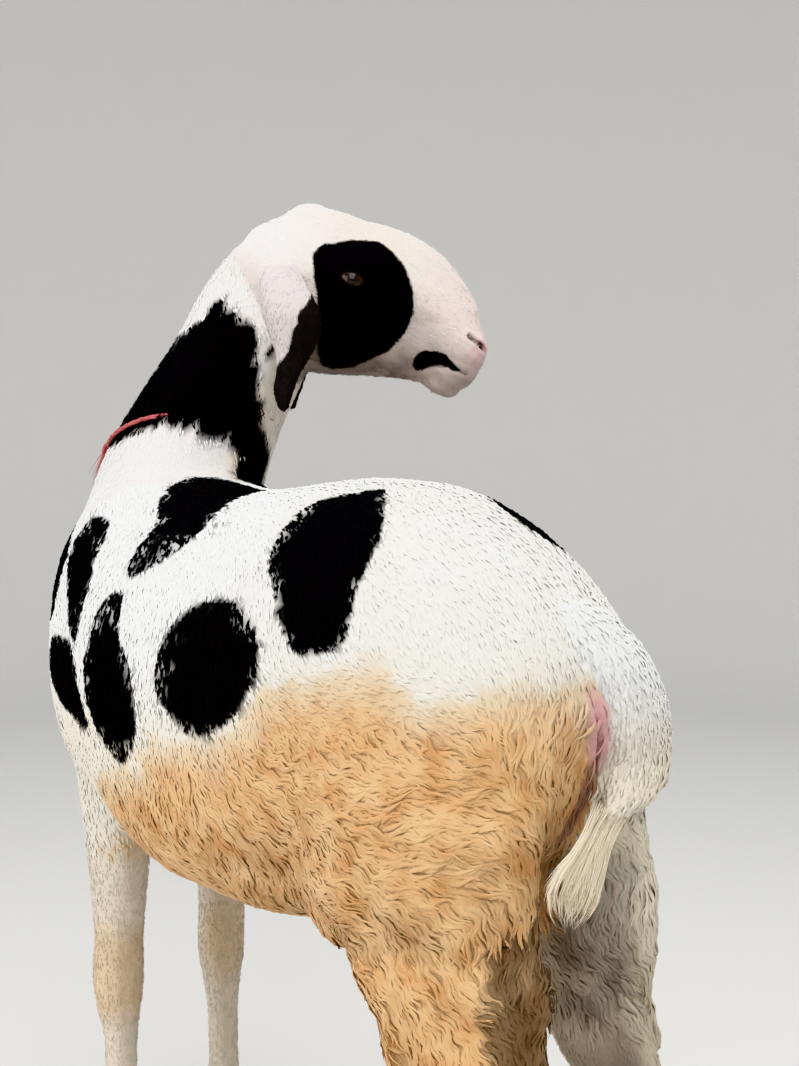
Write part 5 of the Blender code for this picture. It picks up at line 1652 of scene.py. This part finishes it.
def build_tassel():
    """Long cream strands in wisps that fall from the tail's tip, sweep left and curl at their ends."""
    count = 420
    wisps = rng.random((11, 3))
    wisps[:, 0] = np.linspace(0, 1, len(wisps))
    mesh = joined_mesh("tail_tassel", [strand(*wisps[n % len(wisps)]) for n in range(count)])
    points = points_of(mesh)
    part = np.full(count, FLESH.index("tail"))
    for key, value in (("black", 0.0), ("tan", 0.14), ("cream", 0.8), ("pink", 0.0), ("dark", 0.03)):
        put(mesh, key, np.full(len(points), value))
    per = len(points) // count
    # Painted shade: each strand darker where it leaves the tail
    put(mesh, "tip", np.tile(np.linspace(0.45, 1.0, per), count))
    put(mesh, "vary", np.repeat(rng.random(count), per))
    home = unwrap(points.reshape(count, per, 3)[:, 0], part)
    offset = np.stack([np.tile([-1.0, -0.3, 0.3, 1.0], per // 4), np.linspace(-1, 1, per)], 1) * 0.0014
    put_uv(mesh, (home[:, None] + offset[None]).reshape(-1, 2))
    mesh.materials.append(coat_material("wool"))
    return show(new_object("tail_tassel", mesh))


# Stage


def build_stage():
    """Pale round floor that turns up into a backdrop on all sides, and soft lights."""
    flat, bend, rise, count = 3.0, 1.2, 2.8, 96
    profile = [(0.01, 0.0), (flat, 0.0)]
    profile += [(flat + bend * sin(a), bend - bend * cos(a)) for a in np.linspace(0, pi / 2, 17)[1:]]
    profile.append((flat + bend, rise))
    turns = [tau * n / count for n in range(count)]
    points = [(radius * cos(a), radius * sin(a), z) for radius, z in profile for a in turns]
    faces = []
    for ring in range(len(profile) - 1):
        for n in range(count):
            one, two = ring * count + n, ring * count + (n + 1) % count
            faces.append((one, two, two + count, one + count))
    floor = new_object("floor", mesh_from("floor", np.array(points), np.array(faces)))
    floor.data.materials.append(floor_material())
    # Name, width, place and watts
    lamps = [
        ("key", 2.2, (0.9, 1.7, 2.0), 44.0),
        ("fill", 2.4, (2.3, -0.5, 1.0), 46.0),
        ("top", 2.6, (-0.2, 0.2, 2.8), 52.0),
    ]
    for name, width, place, power in lamps:
        light = bpy.data.lights.new(name, "AREA")
        light.size, light.energy = width, power
        lamp = new_object(name, light)
        lamp.location = place
        aim = Vector((0, 0, 0.6)) - Vector(place)
        lamp.rotation_mode = "QUATERNION"
        lamp.rotation_quaternion = aim.to_track_quat("-Z", "Y")
    world = bpy.data.worlds.new("studio")
    world.use_nodes = True
    sky = world.node_tree.nodes["Background"].inputs
    sky["Color"].default_value = linear("#ECF1F8")
    sky["Strength"].default_value = 0.58
    bpy.context.scene.world = world
    bpy.context.scene.view_settings.view_transform = "Khronos PBR Neutral"


# The photograph's camera: distance, sideways place, height, downward pitch and focal length
CAMERA_AWAY = 1.54
CAMERA_SIDE = 0.084
CAMERA_HEIGHT = 0.838
CAMERA_PITCH = radians(5.0)
CAMERA_FOCUS = 60.79  # mm, for Blender's 36 mm sensor on the long side


def build_camera():
    data = bpy.data.cameras.new("camera")
    data.lens = CAMERA_FOCUS
    data.sensor_width = 36.0
    camera = new_object("camera", data)
    camera.location = ZERO + PHOTO_BACK * CAMERA_AWAY + PHOTO_RIGHT * CAMERA_SIDE
    camera.location.z += CAMERA_HEIGHT
    look = -PHOTO_BACK * cos(CAMERA_PITCH) - Vector((0, 0, sin(CAMERA_PITCH)))
    camera.rotation_mode = "QUATERNION"
    camera.rotation_quaternion = look.to_track_quat("-Z", "Y")
    bpy.context.scene.camera = camera


# Operators and panel


class SHEEP_OT_skin(bpy.types.Operator):
    """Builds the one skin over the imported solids"""

    bl_idname = "sheep.skin"
    bl_label = "Skin"

    def execute(self, context):
        build_skin(context.scene.sheep_sizes)
        return {"FINISHED"}


class SHEEP_OT_wool(bpy.types.Operator):
    """Lays the wavy and the crimped wool over the trunk, thighs and tail"""

    bl_idname = "sheep.wool"
    bl_label = "Wool"

    def execute(self, context):
        build_wavy_wool(context.scene.sheep_sizes)
        build_crimped_wool(context.scene.sheep_sizes)
        return {"FINISHED"}


class SHEEP_OT_hair(bpy.types.Operator):
    """Lays the short hair over the head, neck and legs"""

    bl_idname = "sheep.hair"
    bl_label = "Short hair"

    def execute(self, context):
        build_short_hair(context.scene.sheep_sizes)
        return {"FINISHED"}


class SHEEP_OT_tassel(bpy.types.Operator):
    """Hangs the long locks from the tail's tip"""

    bl_idname = "sheep.tassel"
    bl_label = "Tail tassel"

    def execute(self, context):
        build_tassel()
        return {"FINISHED"}


class SHEEP_OT_eyes(bpy.types.Operator):
    """Sets the eyes and their lids"""

    bl_idname = "sheep.eyes"
    bl_label = "Eyes and lids"

    def execute(self, context):
        material = eye_material()
        for side in (1, -1):
            build_eye(side, material)
            build_lids(side)
        return {"FINISHED"}


class SHEEP_OT_hooves(bpy.types.Operator):
    """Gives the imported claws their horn"""

    bl_idname = "sheep.hooves"
    bl_label = "Hooves"

    def execute(self, context):
        finish_hooves()
        return {"FINISHED"}


class SHEEP_OT_collar(bpy.types.Operator):
    """Ties the thin cord round the neck"""

    bl_idname = "sheep.collar"
    bl_label = "Collar"

    def execute(self, context):
        build_collar(context.scene.sheep_sizes)
        return {"FINISHED"}


class SHEEP_OT_stage(bpy.types.Operator):
    """Sets the floor, lights and camera"""

    bl_idname = "sheep.stage"
    bl_label = "Stage"

    def execute(self, context):
        build_stage()
        build_camera()
        return {"FINISHED"}


OPERATORS = [
    SHEEP_OT_skin,
    SHEEP_OT_eyes,
    SHEEP_OT_hooves,
    SHEEP_OT_collar,
    SHEEP_OT_wool,
    SHEEP_OT_hair,
    SHEEP_OT_tassel,
    SHEEP_OT_stage,
]


class SHEEP_PT_build(bpy.types.Panel):
    """Lists the steps and the values that they use"""

    bl_label = "Dumba sheep"
    bl_space_type = "VIEW_3D"
    bl_region_type = "UI"
    bl_category = "Sheep"

    def draw(self, context):
        for operator in OPERATORS:
            self.layout.operator(operator.bl_idname)
        for group in (context.scene.sheep_sizes, context.scene.sheep_colours):
            for key in group.bl_rna.properties.keys():
                if key not in ("rna_type", "name"):
                    self.layout.prop(group, key)


CLASSES = [SheepSizes, SheepColours, *OPERATORS, SHEEP_PT_build]


def register():
    for cls in CLASSES:
        bpy.utils.register_class(cls)
    bpy.types.Scene.sheep_sizes = bpy.props.PointerProperty(type=SheepSizes)
    bpy.types.Scene.sheep_colours = bpy.props.PointerProperty(type=SheepColours)


def unregister():
    del bpy.types.Scene.sheep_sizes
    del bpy.types.Scene.sheep_colours
    for cls in reversed(CLASSES):
        bpy.utils.unregister_class(cls)


def main():
    register()
    bpy.ops.sheep.skin()
    bpy.ops.sheep.eyes()
    bpy.ops.sheep.hooves()
    bpy.ops.sheep.collar()
    bpy.ops.sheep.wool()
    bpy.ops.sheep.hair()
    bpy.ops.sheep.tassel()
    bpy.ops.sheep.stage()


if __name__ == "__main__":
    main()
